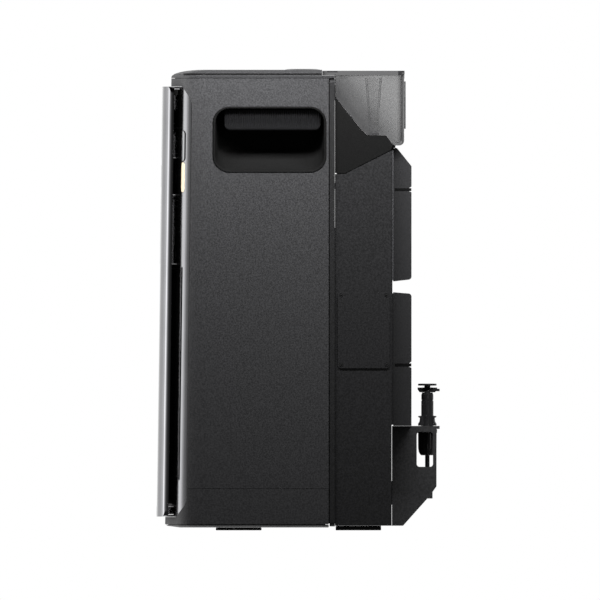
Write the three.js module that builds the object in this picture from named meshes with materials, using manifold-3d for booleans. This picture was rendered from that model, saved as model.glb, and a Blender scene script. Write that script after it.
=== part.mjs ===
// A countertop soda carbonator: millimetres, +Z up, front towards -Y, the user's right towards +X.
// Depths are measured from the foremost point of the machine (depth 0) towards the back, so a piece's Y
// is its depth until the whole machine is moved by half its depth at the end of the file.
import * as THREE from "three";
import { mergeVertices } from "three/addons/utils/BufferGeometryUtils.js";
import Module from "manifold-3d";

const wasm = await Module();
wasm.setup();

// ---- driving dimensions -------------------------------------------------------------------------
const TOTAL_DEPTH = 272;
const HALF_WIDTH = 115;
const GAP = 0.3; // clearance between pieces that touch

// plan curve of the front: a shallow arc between two round corners
const FRONT_DEPTH = 15.4;
const FRONT_RADIUS = 430;
const CORNER_RADIUS = 25;
const CORNER_X = HALF_WIDTH - CORNER_RADIUS;

// the whole front leans: its foot stands further forward than its top
const LEAN = 0.014;
const LEAN_TOP = 502;
const LEAN_FULL_DEPTH = 37; // the lean is complete in front of this depth
const LEAN_NONE_DEPTH = 62; // and gone behind this one

// heights
const FOOT_TOP = 4.4;
const BASE_BOTTOM = 2.7;
const SKIRT_BOTTOM = 5.8;
const SKIRT_SEAM = 40;
const OPENING_BOTTOM = 12.8;
const OPENING_TOP = 426.2;
const SHELL_TOP = 433.8;
const COVER_BOTTOM = 434.2;
const COVER_TOP = 442.1;
const BUTTON_TOP = 443;
const LID_BOTTOM = 436.8;
const LID_TOP = 441.2;

// depths along the body
const SHELL_REAR = 165.5;
const STRIP_FRONT = 166.3;
const STRIP_REAR = 171.35;
const CHASSIS_FRONT = 171.5;
const CHASSIS_REAR = 225.9;
const CHASSIS_PAD = 226.7; // face of the raised pad behind the rear covers
const REAR_COVER_FRONT = 227.4;
const REAR_COVER_REAR = 245;
const REAR_COVER_HALF = 96;

const SHELL_WALL = 3;
const SHEET = 1.8;
const CHASSIS_HALF = 112;

// dispensing bay and the cut-outs in front of it
const BAY_HALF = 52;
const BAY_TOP = 262;
const BAY_BOTTOM = 25.6;
const BAY_REAR = 118;
const HOUSING_FRONT = 37.6;
const CUT_TOP = 256;
const CUT_BOTTOM = 22.8;

// hinge of the front door, in the upright frame of the front
const HINGE_X = -98.2;
const HINGE_DEPTH = 20.3;
const HINGE_PIN = 1.5;
const HINGE_BARREL = 3.4;
const HINGE_HEIGHTS = [52, 392];

// ---- materials ----------------------------------------------------------------------------------
function finish(color, roughness, metalness, extra = {}) {
  return new THREE.MeshStandardMaterial({ color, roughness, metalness, ...extra });
}
const MATERIALS = {
  shell: finish(0x2c2c2d, 0.55, 0.0),
  chassis: finish(0x1c1c1d, 0.7, 0.2),
  matteBlack: finish(0x101011, 0.65, 0.0),
  glossBlack: finish(0x030303, 0.08, 0.0),
  darkChrome: finish(0x8d8d90, 0.16, 0.9),
  silver: finish(0xa9a9ac, 0.25, 0.85),
  smoke: finish(0x3a3a3d, 0.1, 0.0, { transparent: true, opacity: 0.5 }),
  rubber: finish(0x141414, 0.9, 0.0),
  warmLight: finish(0xffe2a8, 0.4, 0.0),
  steel: finish(0xb8b8ba, 0.3, 1.0),
  brass: finish(0xb08a45, 0.3, 1.0),
  aluminium: finish(0xb4b6ba, 0.35, 1.0),
  greyPlastic: finish(0x55575a, 0.5, 0.0),
  board: finish(0x1f4a33, 0.5, 0.0),
  hose: finish(0x222224, 0.45, 0.0),
};

// ---- solids from three.js geometry --------------------------------------------------------------
function toSolid(geometry) {
  const bare = new THREE.BufferGeometry();
  const source = geometry.index ? geometry.toNonIndexed() : geometry;
  bare.setAttribute("position", source.getAttribute("position"));
  const merged = mergeVertices(bare, 1e-4);
  const made = new wasm.Manifold(
    new wasm.Mesh({
      numProp: 3,
      vertProperties: new Float32Array(merged.attributes.position.array),
      triVerts: new Uint32Array(merged.index.array),
    }),
  );
  return made;
}

function toGeometry(solid) {
  const mesh = solid.getMesh();
  const stride = mesh.numProp;
  const positions = new Float32Array(mesh.numVert * 3);
  for (let i = 0; i < mesh.numVert; i++) {
    positions.set(mesh.vertProperties.subarray(i * stride, i * stride + 3), i * 3);
  }
  const geometry = new THREE.BufferGeometry();
  geometry.setAttribute("position", new THREE.BufferAttribute(positions, 3));
  geometry.setIndex(new THREE.BufferAttribute(new Uint32Array(mesh.triVerts), 1));
  geometry.computeVertexNormals();
  return geometry;
}

// An arc is drawn with twice as many chords as these.
const ARC_SEGMENTS = 4;
const CORNER_SEGMENTS = 3;

const X = new THREE.Vector3(1, 0, 0);
const Y = new THREE.Vector3(0, 1, 0);
const Z = new THREE.Vector3(0, 0, 1);

function extrude(shape, depth, curveSegments) {
  return new THREE.ExtrudeGeometry(shape, { depth, curveSegments, bevelEnabled: false });
}

// A plan shape (x, depth) standing from z0 to z1.
function plan(shape, z0, z1, segments = ARC_SEGMENTS) {
  return toSolid(extrude(shape, z1 - z0, segments).translate(0, 0, z0));
}

// A side shape (depth, z) running from x0 to x1.
function side(shape, x0, x1, segments = CORNER_SEGMENTS) {
  const turn = new THREE.Matrix4().makeBasis(Y, Z, X);
  return toSolid(extrude(shape, x1 - x0, segments).applyMatrix4(turn).translate(x0, 0, 0));
}

// A front shape (x, z) running from depth y0 to y1.
function front(shape, y0, y1, segments = CORNER_SEGMENTS) {
  const turn = new THREE.Matrix4().makeBasis(X, Z, Y.clone().negate());
  return toSolid(extrude(shape, y1 - y0, segments).applyMatrix4(turn).translate(0, y1, 0));
}

function box(x0, x1, y0, y1, z0, z1) {
  const geometry = new THREE.BoxGeometry(x1 - x0, y1 - y0, z1 - z0);
  return toSolid(geometry.translate((x0 + x1) / 2, (y0 + y1) / 2, (z0 + z1) / 2));
}

function rod(radius, x, y, z0, z1, segments = 20) {
  const geometry = new THREE.CylinderGeometry(radius, radius, z1 - z0, segments);
  return toSolid(geometry.rotateX(Math.PI / 2).translate(x, y, (z0 + z1) / 2));
}

// A rod along the depth.
function rodDeep(radius, x, z, y0, y1, segments = 20) {
  const geometry = new THREE.CylinderGeometry(radius, radius, y1 - y0, segments);
  return toSolid(geometry.translate(x, (y0 + y1) / 2, z));
}

// A rod along the width.
function rodWide(radius, y, z, x0, x1, segments = 20) {
  const geometry = new THREE.CylinderGeometry(radius, radius, x1 - x0, segments);
  return toSolid(geometry.rotateZ(Math.PI / 2).translate((x0 + x1) / 2, y, z));
}

// A turned piece about a vertical line: points are [radius, z] from the bottom up, on the axis at both ends.
function turned(points, x, y, segments = 20) {
  const profile = points.map(([r, z]) => new THREE.Vector2(r, z));
  const geometry = new THREE.LatheGeometry(profile, segments);
  return toSolid(geometry.rotateX(Math.PI / 2).translate(x, y, 0));
}

function polygon(points) {
  return new THREE.Shape(points.map(([u, v]) => new THREE.Vector2(u, v)));
}

function roundedRect(u0, v0, u1, v1, r) {
  const shape = new THREE.Shape();
  shape.moveTo(u1, v0 + r);
  shape.lineTo(u1, v1 - r);
  shape.absarc(u1 - r, v1 - r, r, 0, Math.PI / 2, false);
  shape.lineTo(u0 + r, v1);
  shape.absarc(u0 + r, v1 - r, r, Math.PI / 2, Math.PI, false);
  shape.lineTo(u0, v0 + r);
  shape.absarc(u0 + r, v0 + r, r, Math.PI, 1.5 * Math.PI, false);
  shape.lineTo(u1 - r, v0);
  shape.absarc(u1 - r, v0 + r, r, 1.5 * Math.PI, 2 * Math.PI, false);
  return shape;
}

// A hose through the given points.
function hose(points, radius, steps, sides = 8) {
  const section = new THREE.Shape();
  section.absarc(0, 0, radius, 0, 2 * Math.PI, false);
  const path = new THREE.CatmullRomCurve3(points.map((p) => new THREE.Vector3(...p)));
  const geometry = new THREE.ExtrudeGeometry(section, {
    steps,
    curveSegments: sides / 2,
    extrudePath: path,
    bevelEnabled: false,
  });
  return toSolid(geometry);
}

// ---- the plan curve and the lean ----------------------------------------------------------------
const cornerDepth =
  FRONT_DEPTH + FRONT_RADIUS - Math.sqrt((FRONT_RADIUS - CORNER_RADIUS) ** 2 - CORNER_X ** 2);
const tangentAngle = Math.atan2(cornerDepth - FRONT_DEPTH - FRONT_RADIUS, CORNER_X);

// The body's plan outline, moved inwards by inset, closed straight across at depth rear.
function bodyOutline(inset, rear) {
  const wide = HALF_WIDTH - inset;
  const shape = new THREE.Shape();
  shape.moveTo(wide, rear);
  shape.lineTo(wide, cornerDepth);
  shape.absarc(CORNER_X, cornerDepth, CORNER_RADIUS - inset, 0, tangentAngle, true);
  const arcCentre = FRONT_DEPTH + FRONT_RADIUS;
  shape.absarc(0, arcCentre, FRONT_RADIUS - inset, tangentAngle, -Math.PI - tangentAngle, true);
  shape.absarc(-CORNER_X, cornerDepth, CORNER_RADIUS - inset, -Math.PI - tangentAngle, -Math.PI, true);
  shape.lineTo(-wide, rear);
  return shape;
}

function leanOffset(z) {
  return LEAN * (z - LEAN_TOP);
}

// Leans a solid's front part, leaving what is further back than LEAN_NONE_DEPTH alone.
function leaned(solid) {
  const geometry = toGeometry(solid);
  const p = geometry.getAttribute("position");
  for (let i = 0; i < p.count; i++) {
    const share = (LEAN_NONE_DEPTH - p.getY(i)) / (LEAN_NONE_DEPTH - LEAN_FULL_DEPTH);
    p.setY(i, p.getY(i) + leanOffset(p.getZ(i)) * Math.min(1, Math.max(0, share)));
  }
  return toSolid(geometry);
}

// The points of a closed outline with the repeated ones left out.
function distinct(points) {
  const apart = 1e-3;
  return points.filter((p, i) => p.distanceTo(points[(i + 1) % points.length]) > apart);
}

// A closed cap lofted between copies of the body outline; each ring is [side inset, front inset, z].
function loftedCap(rear, rings) {
  const outline = distinct(bodyOutline(0, rear).getPoints(ARC_SEGMENTS));
  const middle = new THREE.Vector2(0, cornerDepth);
  const loops = rings.map(([sideInset, frontInset, z]) =>
    outline.map((point) => {
      const scaleX = (HALF_WIDTH - sideInset) / HALF_WIDTH;
      const reach = middle.y - FRONT_DEPTH;
      const scaleY = point.y < middle.y ? 1 - frontInset / reach : 1;
      const y = point.y < middle.y ? middle.y + (point.y - middle.y) * scaleY : point.y;
      return new THREE.Vector3(point.x * scaleX, y, z);
    }),
  );
  const flat = [];
  const count = outline.length;
  const push = (a, b, c) => flat.push(...a.toArray(), ...b.toArray(), ...c.toArray());
  for (let k = 0; k + 1 < loops.length; k++) {
    for (let i = 0; i < count; i++) {
      const j = (i + 1) % count;
      push(loops[k][i], loops[k + 1][i], loops[k][j]);
      push(loops[k][j], loops[k + 1][i], loops[k + 1][j]);
    }
  }
  const faces = THREE.ShapeUtils.triangulateShape(outline, []);
  const top = loops[loops.length - 1];
  faces.forEach(([a, b, c]) => {
    push(loops[0][a], loops[0][c], loops[0][b]);
    push(top[a], top[b], top[c]);
  });
  const geometry = new THREE.BufferGeometry();
  geometry.setAttribute("position", new THREE.Float32BufferAttribute(flat, 3));
  return toSolid(geometry);
}

// ---- scene graph --------------------------------------------------------------------------------
const machine = new THREE.Group();
machine.position.y = -TOTAL_DEPTH / 2;

const leaningFront = new THREE.Group();
leaningFront.matrixAutoUpdate = false;
leaningFront.matrix.makeShear(0, 0, 0, 0, 0, LEAN).setPosition(0, -LEAN * LEAN_TOP, 0);
machine.add(leaningFront);

function place(name, solid, material, group = machine) {
  const mesh = new THREE.Mesh(toGeometry(solid), material);
  mesh.name = name;
  group.add(mesh);
}

// ---- casing -------------------------------------------------------------------------------------
const OPENING_HALF = 110;
const OPENING_RADIUS = 19;
const HANDLE = { y0: 54.6, y1: 163.2, z0: 343.2, z1: 406.6, r: 15.5, depth: 32 };

function wall(z0, z1, thickness) {
  const outer = plan(bodyOutline(0, SHELL_REAR), z0, z1);
  const inner = plan(bodyOutline(thickness, SHELL_REAR + 10), z0 - 1, z1 + 1);
  return leaned(outer.subtract(inner));
}

function frontOpening() {
  const outline = roundedRect(-OPENING_HALF, OPENING_BOTTOM, OPENING_HALF, OPENING_TOP, OPENING_RADIUS);
  return front(outline, -20, HOUSING_FRONT + 8);
}

function handleCut(grow) {
  const { y0, y1, z0, z1, r } = HANDLE;
  return roundedRect(y0 - grow, z0 - grow, y1 + grow, z1 + grow, r + grow);
}

function bodyShell() {
  const cuts = side(handleCut(GAP), -HALF_WIDTH - 5, HALF_WIDTH + 5);
  return wall(SKIRT_SEAM + 0.15, SHELL_TOP, SHELL_WALL).subtract(frontOpening()).subtract(cuts);
}

function lowerSkirt() {
  return wall(SKIRT_BOTTOM, SKIRT_SEAM - 0.15, SHELL_WALL).subtract(frontOpening());
}

// A thin rib just inside the shell's wall, which locates a piece and closes the seam beside it.
function locatingRib(z0, z1) {
  const outer = plan(bodyOutline(SHELL_WALL + 0.4, RIB_REAR), z0, z1);
  return outer.subtract(plan(bodyOutline(SHELL_WALL + 2, RIB_REAR + 10), z0 - 1, z1 + 1));
}

const RIB_REAR = 162;

// Quarter-ellipse rings: the cover's rim rises steeply at the sides and slowly over the nose.
function topCover() {
  const rimSide = 9;
  const rimFront = 31;
  const rings = [[0.4, 0, COVER_BOTTOM]];
  const steps = 7;
  for (let k = 0; k <= steps; k++) {
    const turn = (k / steps) * (Math.PI / 2);
    const inset = 1 - Math.cos(turn);
    const z = COVER_BOTTOM + 0.8 + (COVER_TOP - COVER_BOTTOM - 0.8) * Math.sin(turn);
    rings.push([0.4 + rimSide * inset, rimFront * inset, z]);
  }
  const crown = loftedCap(159.2, rings);
  const deck = box(-HALF_WIDTH + 1, HALF_WIDTH - 1, 150, STRIP_REAR, COVER_BOTTOM, LID_BOTTOM - 0.15);
  const well = rod(BUTTON_RADIUS + 0.6, 0, BUTTON_DEPTH, COVER_TOP - 4.2, COVER_TOP + 5, 36);
  const stemHole = rod(4.6, 0, BUTTON_DEPTH, COVER_BOTTOM - 5, COVER_TOP + 5, 20);
  const rib = locatingRib(COVER_BOTTOM - 3.2, COVER_BOTTOM + 0.5);
  return leaned(crown.add(rib).add(deck).subtract(well).subtract(stemHole));
}

function basePan() {
  const rings = [
    [9, 14, BASE_BOTTOM],
    [2, 2.5, BASE_BOTTOM + 1.6],
    [0.8, 0.4, SKIRT_BOTTOM - GAP],
  ];
  return leaned(loftedCap(SHELL_REAR, rings).add(locatingRib(SKIRT_BOTTOM - 1, SKIRT_BOTTOM + 3)));
}

// The ring between the shell and the sheet-metal chassis.
function rearStrip() {
  const half = HALF_WIDTH - 0.9;
  const ring = front(roundedRect(-half, BASE_BOTTOM + 1, half, SHELL_TOP - 0.6, 4), STRIP_FRONT, STRIP_REAR);
  const hole = roundedRect(-half + 12, BASE_BOTTOM + 3.1, half - 12, SHELL_TOP - 22, 6);
  const lip = front(roundedRect(-109.8, 8, 109.8, 430, 4), STRIP_FRONT - 2.8, STRIP_FRONT + 1);
  const lipHole = front(roundedRect(-108.2, 2, 108.2, 428.4, 3), STRIP_FRONT - 4, STRIP_FRONT + 2);
  return ring.subtract(front(hole, STRIP_FRONT - 2, STRIP_REAR + 2)).add(lip.subtract(lipHole));
}

function foot(x, y0, y1, under) {
  return side(roundedRect(y0, 0, y1, under - 0.05, 0.5), x - 17, x + 17, 1);
}

const FEET = {
  foot_front_left: [-84, 57.2, 101, BASE_BOTTOM],
  foot_front_right: [84, 57.2, 101, BASE_BOTTOM],
  foot_rear_left: [-84, 172.2, 215.8, FOOT_TOP],
  foot_rear_right: [84, 172.2, 215.8, FOOT_TOP],
};

// ---- hand recesses ------------------------------------------------------------------------------
const GRIP = { y0: 65.6, y1: 157.6, z0: 383.4 };
const POCKET_WALL = 2;

// The cavity of a right-hand recess: its floor curves up to the back wall.
function pocketCavity() {
  const { z0, z1, depth } = HANDLE;
  const inner = HALF_WIDTH - depth;
  const floorRise = 26;
  const scoop = new THREE.Shape();
  scoop.moveTo(HALF_WIDTH + 3, z0 - 2);
  scoop.lineTo(HALF_WIDTH - 7, z0 - 2);
  scoop.quadraticCurveTo(inner + 6, z0 + 5, inner, z0 + floorRise);
  scoop.lineTo(inner, z1 + 5);
  scoop.lineTo(HALF_WIDTH + 3, z1 + 5);
  const profile = front(scoop, HANDLE.y0 - 5, HANDLE.y1 + 5, 5);
  return profile.intersect(side(handleCut(-POCKET_WALL), inner - 1, HALF_WIDTH + 2));
}

function handlePocket() {
  const { depth } = HANDLE;
  const inner = HALF_WIDTH - depth - POCKET_WALL;
  const outer = side(handleCut(0), inner, HALF_WIDTH - 0.25);
  const behindShell = HALF_WIDTH - SHELL_WALL - GAP;
  const flange = side(handleCut(2.6), behindShell - 1.5, behindShell);
  return outer.add(flange).subtract(pocketCavity());
}

function handleGrip() {
  const { z1 } = HANDLE;
  const x1 = HALF_WIDTH - 5;
  const outline = roundedRect(GRIP.y0, GRIP.z0, GRIP.y1, z1 - POCKET_WALL + 6, 5.5);
  const mouth = side(handleCut(-POCKET_WALL - GAP), x1 - 10, x1 + 5);
  return side(outline, x1 - 6, x1).intersect(mouth);
}

// The same piece on the other side of the machine.
function mirrored(solid) {
  const geometry = toGeometry(solid).scale(-1, 1, 1);
  geometry.index.array.reverse();
  return toSolid(geometry);
}

// ---- front: bezel, housing with the dispensing bay ----------------------------------------------
const BEZEL_HALF = 109.1;
const PANEL_HALF = 93.9;
const BEZEL_INNER = 95.1;
const BEZEL_THICK = 4;

// A slab that follows the plan curve, between two insets from it.
function curvedSlab(from, to, z0, z1) {
  return plan(bodyOutline(from, 70), z0, z1).subtract(plan(bodyOutline(to, 80), z0 - 1, z1 + 1));
}

// The key and the light bar are pill shapes on the right-hand corner of the bezel.
const PILL = { x0: 96.4, x1: 103, z0: 354.4, z1: 383.4 };
const LIGHT = { ...PILL, z0: 324.6, z1: 353.2 };
const SLOT = { x0: 96.4, x1: 102.4, z0: 48, z1: 253 };

function pill({ x0, x1, z0, z1 }, grow) {
  return roundedRect(x0 - grow, z0 - grow, x1 + grow, z1 + grow, (x1 - x0) / 2 + grow - 0.01);
}

function bezelRing() {
  const slab = curvedSlab(0, BEZEL_THICK, OPENING_BOTTOM, OPENING_TOP);
  const outer = roundedRect(-BEZEL_HALF, OPENING_BOTTOM + 0.2, BEZEL_HALF, OPENING_TOP - 0.2, OPENING_RADIUS - 1);
  const inner = roundedRect(-BEZEL_INNER, OPENING_BOTTOM + 2.3, BEZEL_INNER, OPENING_TOP - 2.3, 15);
  let ring = slab.intersect(front(outer, 0, HOUSING_FRONT - GAP)).subtract(front(inner, -20, 80));
  for (const window of [PILL, LIGHT]) {
    ring = ring.subtract(front(pill(window, 0.4), -20, 80));
  }
  const groove = front(pill(SLOT, 0), -20, 80).intersect(plan(bodyOutline(-1, 70), 0, 430));
  const grooveFloor = plan(bodyOutline(2.2, 80), -1, 430);
  return ring.subtract(groove.subtract(grooveFloor));
}

// A key cut from the bezel's curve, proud of it by a hair, and stopped by a flange behind.
function bezelKey(window, proud, thick) {
  return front(pill(window, 0), -20, 80).intersect(curvedSlab(-proud, thick, window.z0 - 5, window.z1 + 5));
}

const RUNNER_X = 34;

// The moulded housing behind the door: a flange that fills the opening, and the bay's five walls.
function bayHousing() {
  const flange = front(roundedRect(-107, 15.5, 107, 423.5, 15), HOUSING_FRONT, HOUSING_FRONT + 2.4);
  const shellOut = box(-BAY_HALF - 2, BAY_HALF + 2, HOUSING_FRONT, BAY_REAR + 2, BAY_BOTTOM - 2, BAY_TOP + 2);
  const cavity = front(
    roundedRect(-BAY_HALF, BAY_BOTTOM, BAY_HALF, BAY_TOP, 5),
    HOUSING_FRONT - 5,
    BAY_REAR,
  );
  const nozzleHole = rod(5.4, 0, NOZZLE_DEPTH, BAY_TOP - 5, BAY_TOP + 10, 20);
  let housing = flange.add(shellOut).subtract(cavity).subtract(nozzleHole);
  // two runners that the drip tray slides on
  for (const x of [-RUNNER_X, RUNNER_X]) {
    const runner = box(x - 2, x + 2, HOUSING_FRONT + 4, BAY_REAR - 6, BAY_BOTTOM - 1, TRAY.z0 - 0.3);
    housing = housing.add(runner);
  }
  return housing;
}

const NOZZLE_DEPTH = 74;

function nozzle() {
  const body = turned(
    [
      [0, 233],
      [5.5, 233],
      [7, 234.2],
      [7.6, 241],
      [13, 245],
      [16, 249],
      [16, BAY_TOP - GAP],
      [5, BAY_TOP - GAP],
      [5, BAY_TOP + 12],
      [0, BAY_TOP + 12],
    ],
    0,
    NOZZLE_DEPTH,
  );
  return body.subtract(rod(2.4, 0, NOZZLE_DEPTH, 230, BAY_TOP + 20, 14));
}

const TRAY = { half: 45, y0: 20, y1: 110, z0: 28.5, z1: 41 };

function dripTray() {
  const { half, y0, y1, z0, z1 } = TRAY;
  const outer = plan(roundedRect(-half, y0, half, y1, 5), z0, z1, 4);
  const inner = plan(roundedRect(-half + 2, y0 + 2.4, half - 2, y1 - 2, 3.6), z0 + 2, z1 + 1, 4);
  return outer.subtract(inner);
}

// A slotted plate that rests inside the tray's rim.
function dripGrille() {
  const { half, y0, y1, z1 } = TRAY;
  const outline = roundedRect(-half + 2.5, y0 + 2.9, half - 2.5, y1 - 2.5, 3);
  let plate = plan(outline, z1 - 2.4, z1 - 0.4, 4);
  const legs = [];
  for (const x of [-36, 36]) {
    for (const y of [34, 98]) {
      legs.push(rod(2.5, x, y, TRAY.z0 + 2.3, z1 - 1.5, 10));
    }
  }
  const slots = 9;
  const pitch = 8.6;
  for (let i = 0; i < slots; i++) {
    const y = 30.5 + i * pitch;
    const slot = plan(roundedRect(-29, y, 29, y + 4, 1.9), z1 - 8, z1 + 4, 1);
    plate = plate.subtract(slot);
  }
  return legs.reduce((all, leg) => all.add(leg), plate);
}

// ---- the door -----------------------------------------------------------------------------------
const PLATE_DEPTH = 6.84;
const PLATE_HALF = 89;
const PLATE_REAR = 18.4;
const PLATE_FLAT = 56; // half-width of the nearly flat middle
const PLATE_RADII = [4000, 85, 5.4]; // middle, flank, edge roll
const PLATE_SKIN = 2.4;
const PLATE_CORNER = [4.5, 12];
const PLATE_BOTTOM = 13.2;
const PLATE_TOP = 426;
const CONTROL = { half: 47, z0: 322, z1: 358 };
const STUD_HEIGHTS = [250.8, 318.6, 386];
const STUD_X = 57;
const STUD_RADIUS = 1.3;

// Plan section of the plate: a nearly flat middle, flanks that sweep back, and a rolled edge.
function plateSection(inset, rear) {
  const [middle, flank, roll] = PLATE_RADII;
  const front = -Math.PI / 2;
  const turn1 = Math.asin(PLATE_FLAT / middle);
  const flankX = (middle - flank) * Math.sin(turn1);
  const flankY = PLATE_DEPTH + middle - (middle - flank) * Math.cos(turn1);
  const rollX = PLATE_HALF - roll;
  const turn2 = Math.asin((rollX - flankX) / (flank - roll));
  const rollY = flankY - (flank - roll) * Math.cos(turn2);
  const half = PLATE_HALF - inset;
  const shape = new THREE.Shape();
  shape.moveTo(half, rear);
  shape.lineTo(half, rollY);
  shape.absarc(rollX, rollY, roll - inset, 0, front + turn2, true);
  shape.absarc(flankX, flankY, flank - inset, front + turn2, front + turn1, true);
  shape.absarc(0, PLATE_DEPTH + middle, middle - inset, front + turn1, front - turn1, true);
  shape.absarc(-flankX, flankY, flank - inset, front - turn1, front - turn2, true);
  shape.absarc(-rollX, rollY, roll - inset, front - turn2, -Math.PI, true);
  shape.lineTo(-half, rear);
  return shape;
}

// Front outline of the plate, with corners taller than they are wide.
function plateOutline() {
  const [wide, tall] = PLATE_CORNER;
  const shape = new THREE.Shape();
  for (const [sx, z, turn] of [
    [1, PLATE_TOP - tall, 0],
    [-1, PLATE_TOP - tall, 1],
    [-1, PLATE_BOTTOM + tall, 2],
    [1, PLATE_BOTTOM + tall, 3],
  ]) {
    const quarter = Math.PI / 2;
    shape.absellipse(sx * (PLATE_HALF - wide), z, wide, tall, turn * quarter, (turn + 1) * quarter, false);
  }
  return shape;
}

function doorPlate() {
  const outer = plan(plateSection(0, PLATE_REAR), PLATE_BOTTOM, PLATE_TOP);
  const inner = plan(plateSection(PLATE_SKIN, 30), PLATE_BOTTOM - 1, PLATE_TOP + 1);
  const outline = front(plateOutline(), -5, 30);
  const bayCut = front(roundedRect(-BAY_HALF - 1, CUT_BOTTOM, BAY_HALF + 1, CUT_TOP, 8), -5, 30);
  const { half, z0, z1 } = CONTROL;
  const controlCut = front(roundedRect(-half, z0, half, z1, (z1 - z0) / 2 - 0.01), -5, 30);
  let plate = outer.subtract(inner).intersect(outline).subtract(bayCut).subtract(controlCut);
  for (const x of [-STUD_X, STUD_X]) {
    for (const z of STUD_HEIGHTS) {
      plate = plate.add(rodDeep(STUD_RADIUS, x, z, PLATE_DEPTH + 1.6, panelDepthAt(x) - GAP - 0.1, 8));
    }
  }
  return plate;
}

function panelDepthAt(x) {
  return FRONT_DEPTH + FRONT_RADIUS - Math.sqrt(FRONT_RADIUS ** 2 - x ** 2);
}

function collarEdge(grow) {
  const half = BAY_HALF + 0.6 + grow;
  return roundedRect(-half, CUT_BOTTOM + 0.4 - grow, half, CUT_TOP - 0.4 + grow, 7.6 + grow);
}

// The frame round the alcove in the door, from just behind the plate's face to inside the panel.
function alcoveCollar() {
  const inner = roundedRect(-BAY_HALF + 1, CUT_BOTTOM + 2, BAY_HALF - 1, CUT_TOP - 2, 6);
  return front(collarEdge(0), PLATE_DEPTH + 0.8, 21).subtract(front(inner, -5, 60));
}

// The gloss-black panel behind the plate, with the hinge's moving knuckles on its left-hand edge.
function doorPanel() {
  const slab = curvedSlab(0, 7.5, OPENING_BOTTOM + 2.6, OPENING_TOP - 2.6);
  const outline = roundedRect(-PANEL_HALF, OPENING_BOTTOM + 2.7, PANEL_HALF, OPENING_TOP - 2.7, 14.5);
  let panel = slab.intersect(front(outline, 0, 36)).subtract(front(collarEdge(0.1), -5, 60));
  for (const z of HINGE_HEIGHTS) {
    const arm = box(HINGE_X, -91.5, HINGE_DEPTH - 1.6, HINGE_DEPTH + 1.6, z, z + 12);
    const heel = box(-93.4, -90.5, HINGE_DEPTH - 1.6, 27.5, z, z + 12);
    const barrel = rod(HINGE_BARREL, HINGE_X, HINGE_DEPTH, z, z + 12, 20);
    const bore = rod(HINGE_PIN + 0.25, HINGE_X, HINGE_DEPTH, z - 1, z + 13, 20);
    panel = panel.add(arm).add(heel).add(barrel).subtract(bore);
  }
  return panel;
}

// A fixed hinge: a foot on the bezel, a barrel under the door's knuckle and the pin through it.
function hingeBracket(z) {
  const barrel = rod(HINGE_BARREL, HINGE_X, HINGE_DEPTH, z - 12, z - GAP, 20);
  const pin = rod(HINGE_PIN, HINGE_X, HINGE_DEPTH, z - 5, z + 13.5, 20);
  const reach = box(HINGE_X - 3.2, HINGE_X + 1.6, HINGE_DEPTH, 33, z - 12, z - GAP);
  const bezelFace = plan(bodyOutline(-GAP, 70), z - 20, z + 20);
  return barrel.add(reach.subtract(bezelFace)).add(pin);
}

// Controls in the plate: a pill of dark glass with two touch keys sunk in it.
const KEY_X = [-24, 24];
const KEY_RADIUS = 11;

function controlGlass() {
  const { half, z0, z1 } = CONTROL;
  const outline = roundedRect(-half + 0.4, z0 + 0.4, half - 0.4, z1 - 0.4, (z1 - z0) / 2 - 0.41);
  const face = plan(plateSection(0.35, 30), z0 - 5, z1 + 5);
  let glass = front(outline, 0, 14.6).intersect(face);
  for (const x of KEY_X) {
    glass = glass.subtract(rodDeep(KEY_RADIUS + 0.4, x, (z0 + z1) / 2, -5, 11.4, 20));
  }
  return glass;
}

function modeKey(x) {
  const z = (CONTROL.z0 + CONTROL.z1) / 2;
  const face = plan(plateSection(0.1, 30), CONTROL.z0, CONTROL.z1);
  return rodDeep(KEY_RADIUS, x, z, 0, 9.9, 20).intersect(face);
}

// ---- top button ---------------------------------------------------------------------------------
const BUTTON_RADIUS = 17;
const BUTTON_DEPTH = 140.3;

function carbonateButton() {
  const low = COVER_TOP - 1.2;
  return turned(
    [
      [0, COVER_BOTTOM - 3.5],
      [4.2, COVER_BOTTOM - 3.5],
      [4.2, low],
      [BUTTON_RADIUS, low],
      [BUTTON_RADIUS, COVER_TOP],
      [BUTTON_RADIUS - 3.6, BUTTON_TOP],
      [0, BUTTON_TOP],
    ],
    0,
    BUTTON_DEPTH,
    36,
  );
}

// ---- rear: chassis, dock, tank, covers ----------------------------------------------------------
const DOCK = [
  [171.5, 416.2],
  [196.7, 384.4],
  [202.3, 379.3],
  [220.6, 378.8],
  [227.1, 370.1],
  [225.3, 365.1],
  [181.7, 342.9],
  [171.5, 342.9],
];
const CHASSIS_OUTLINE = [
  [CHASSIS_FRONT, FOOT_TOP],
  [CHASSIS_REAR, FOOT_TOP],
  [CHASSIS_REAR, 364.6],
  [181.4, 342.1],
  [CHASSIS_FRONT, 342.1],
];
const PANEL = { y0: 174.2, y1: 224, z0: 155.5, z1: 228.5 };
const FAN = { z: 306, half: 34, y0: 205, y1: 221.5 };

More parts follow.
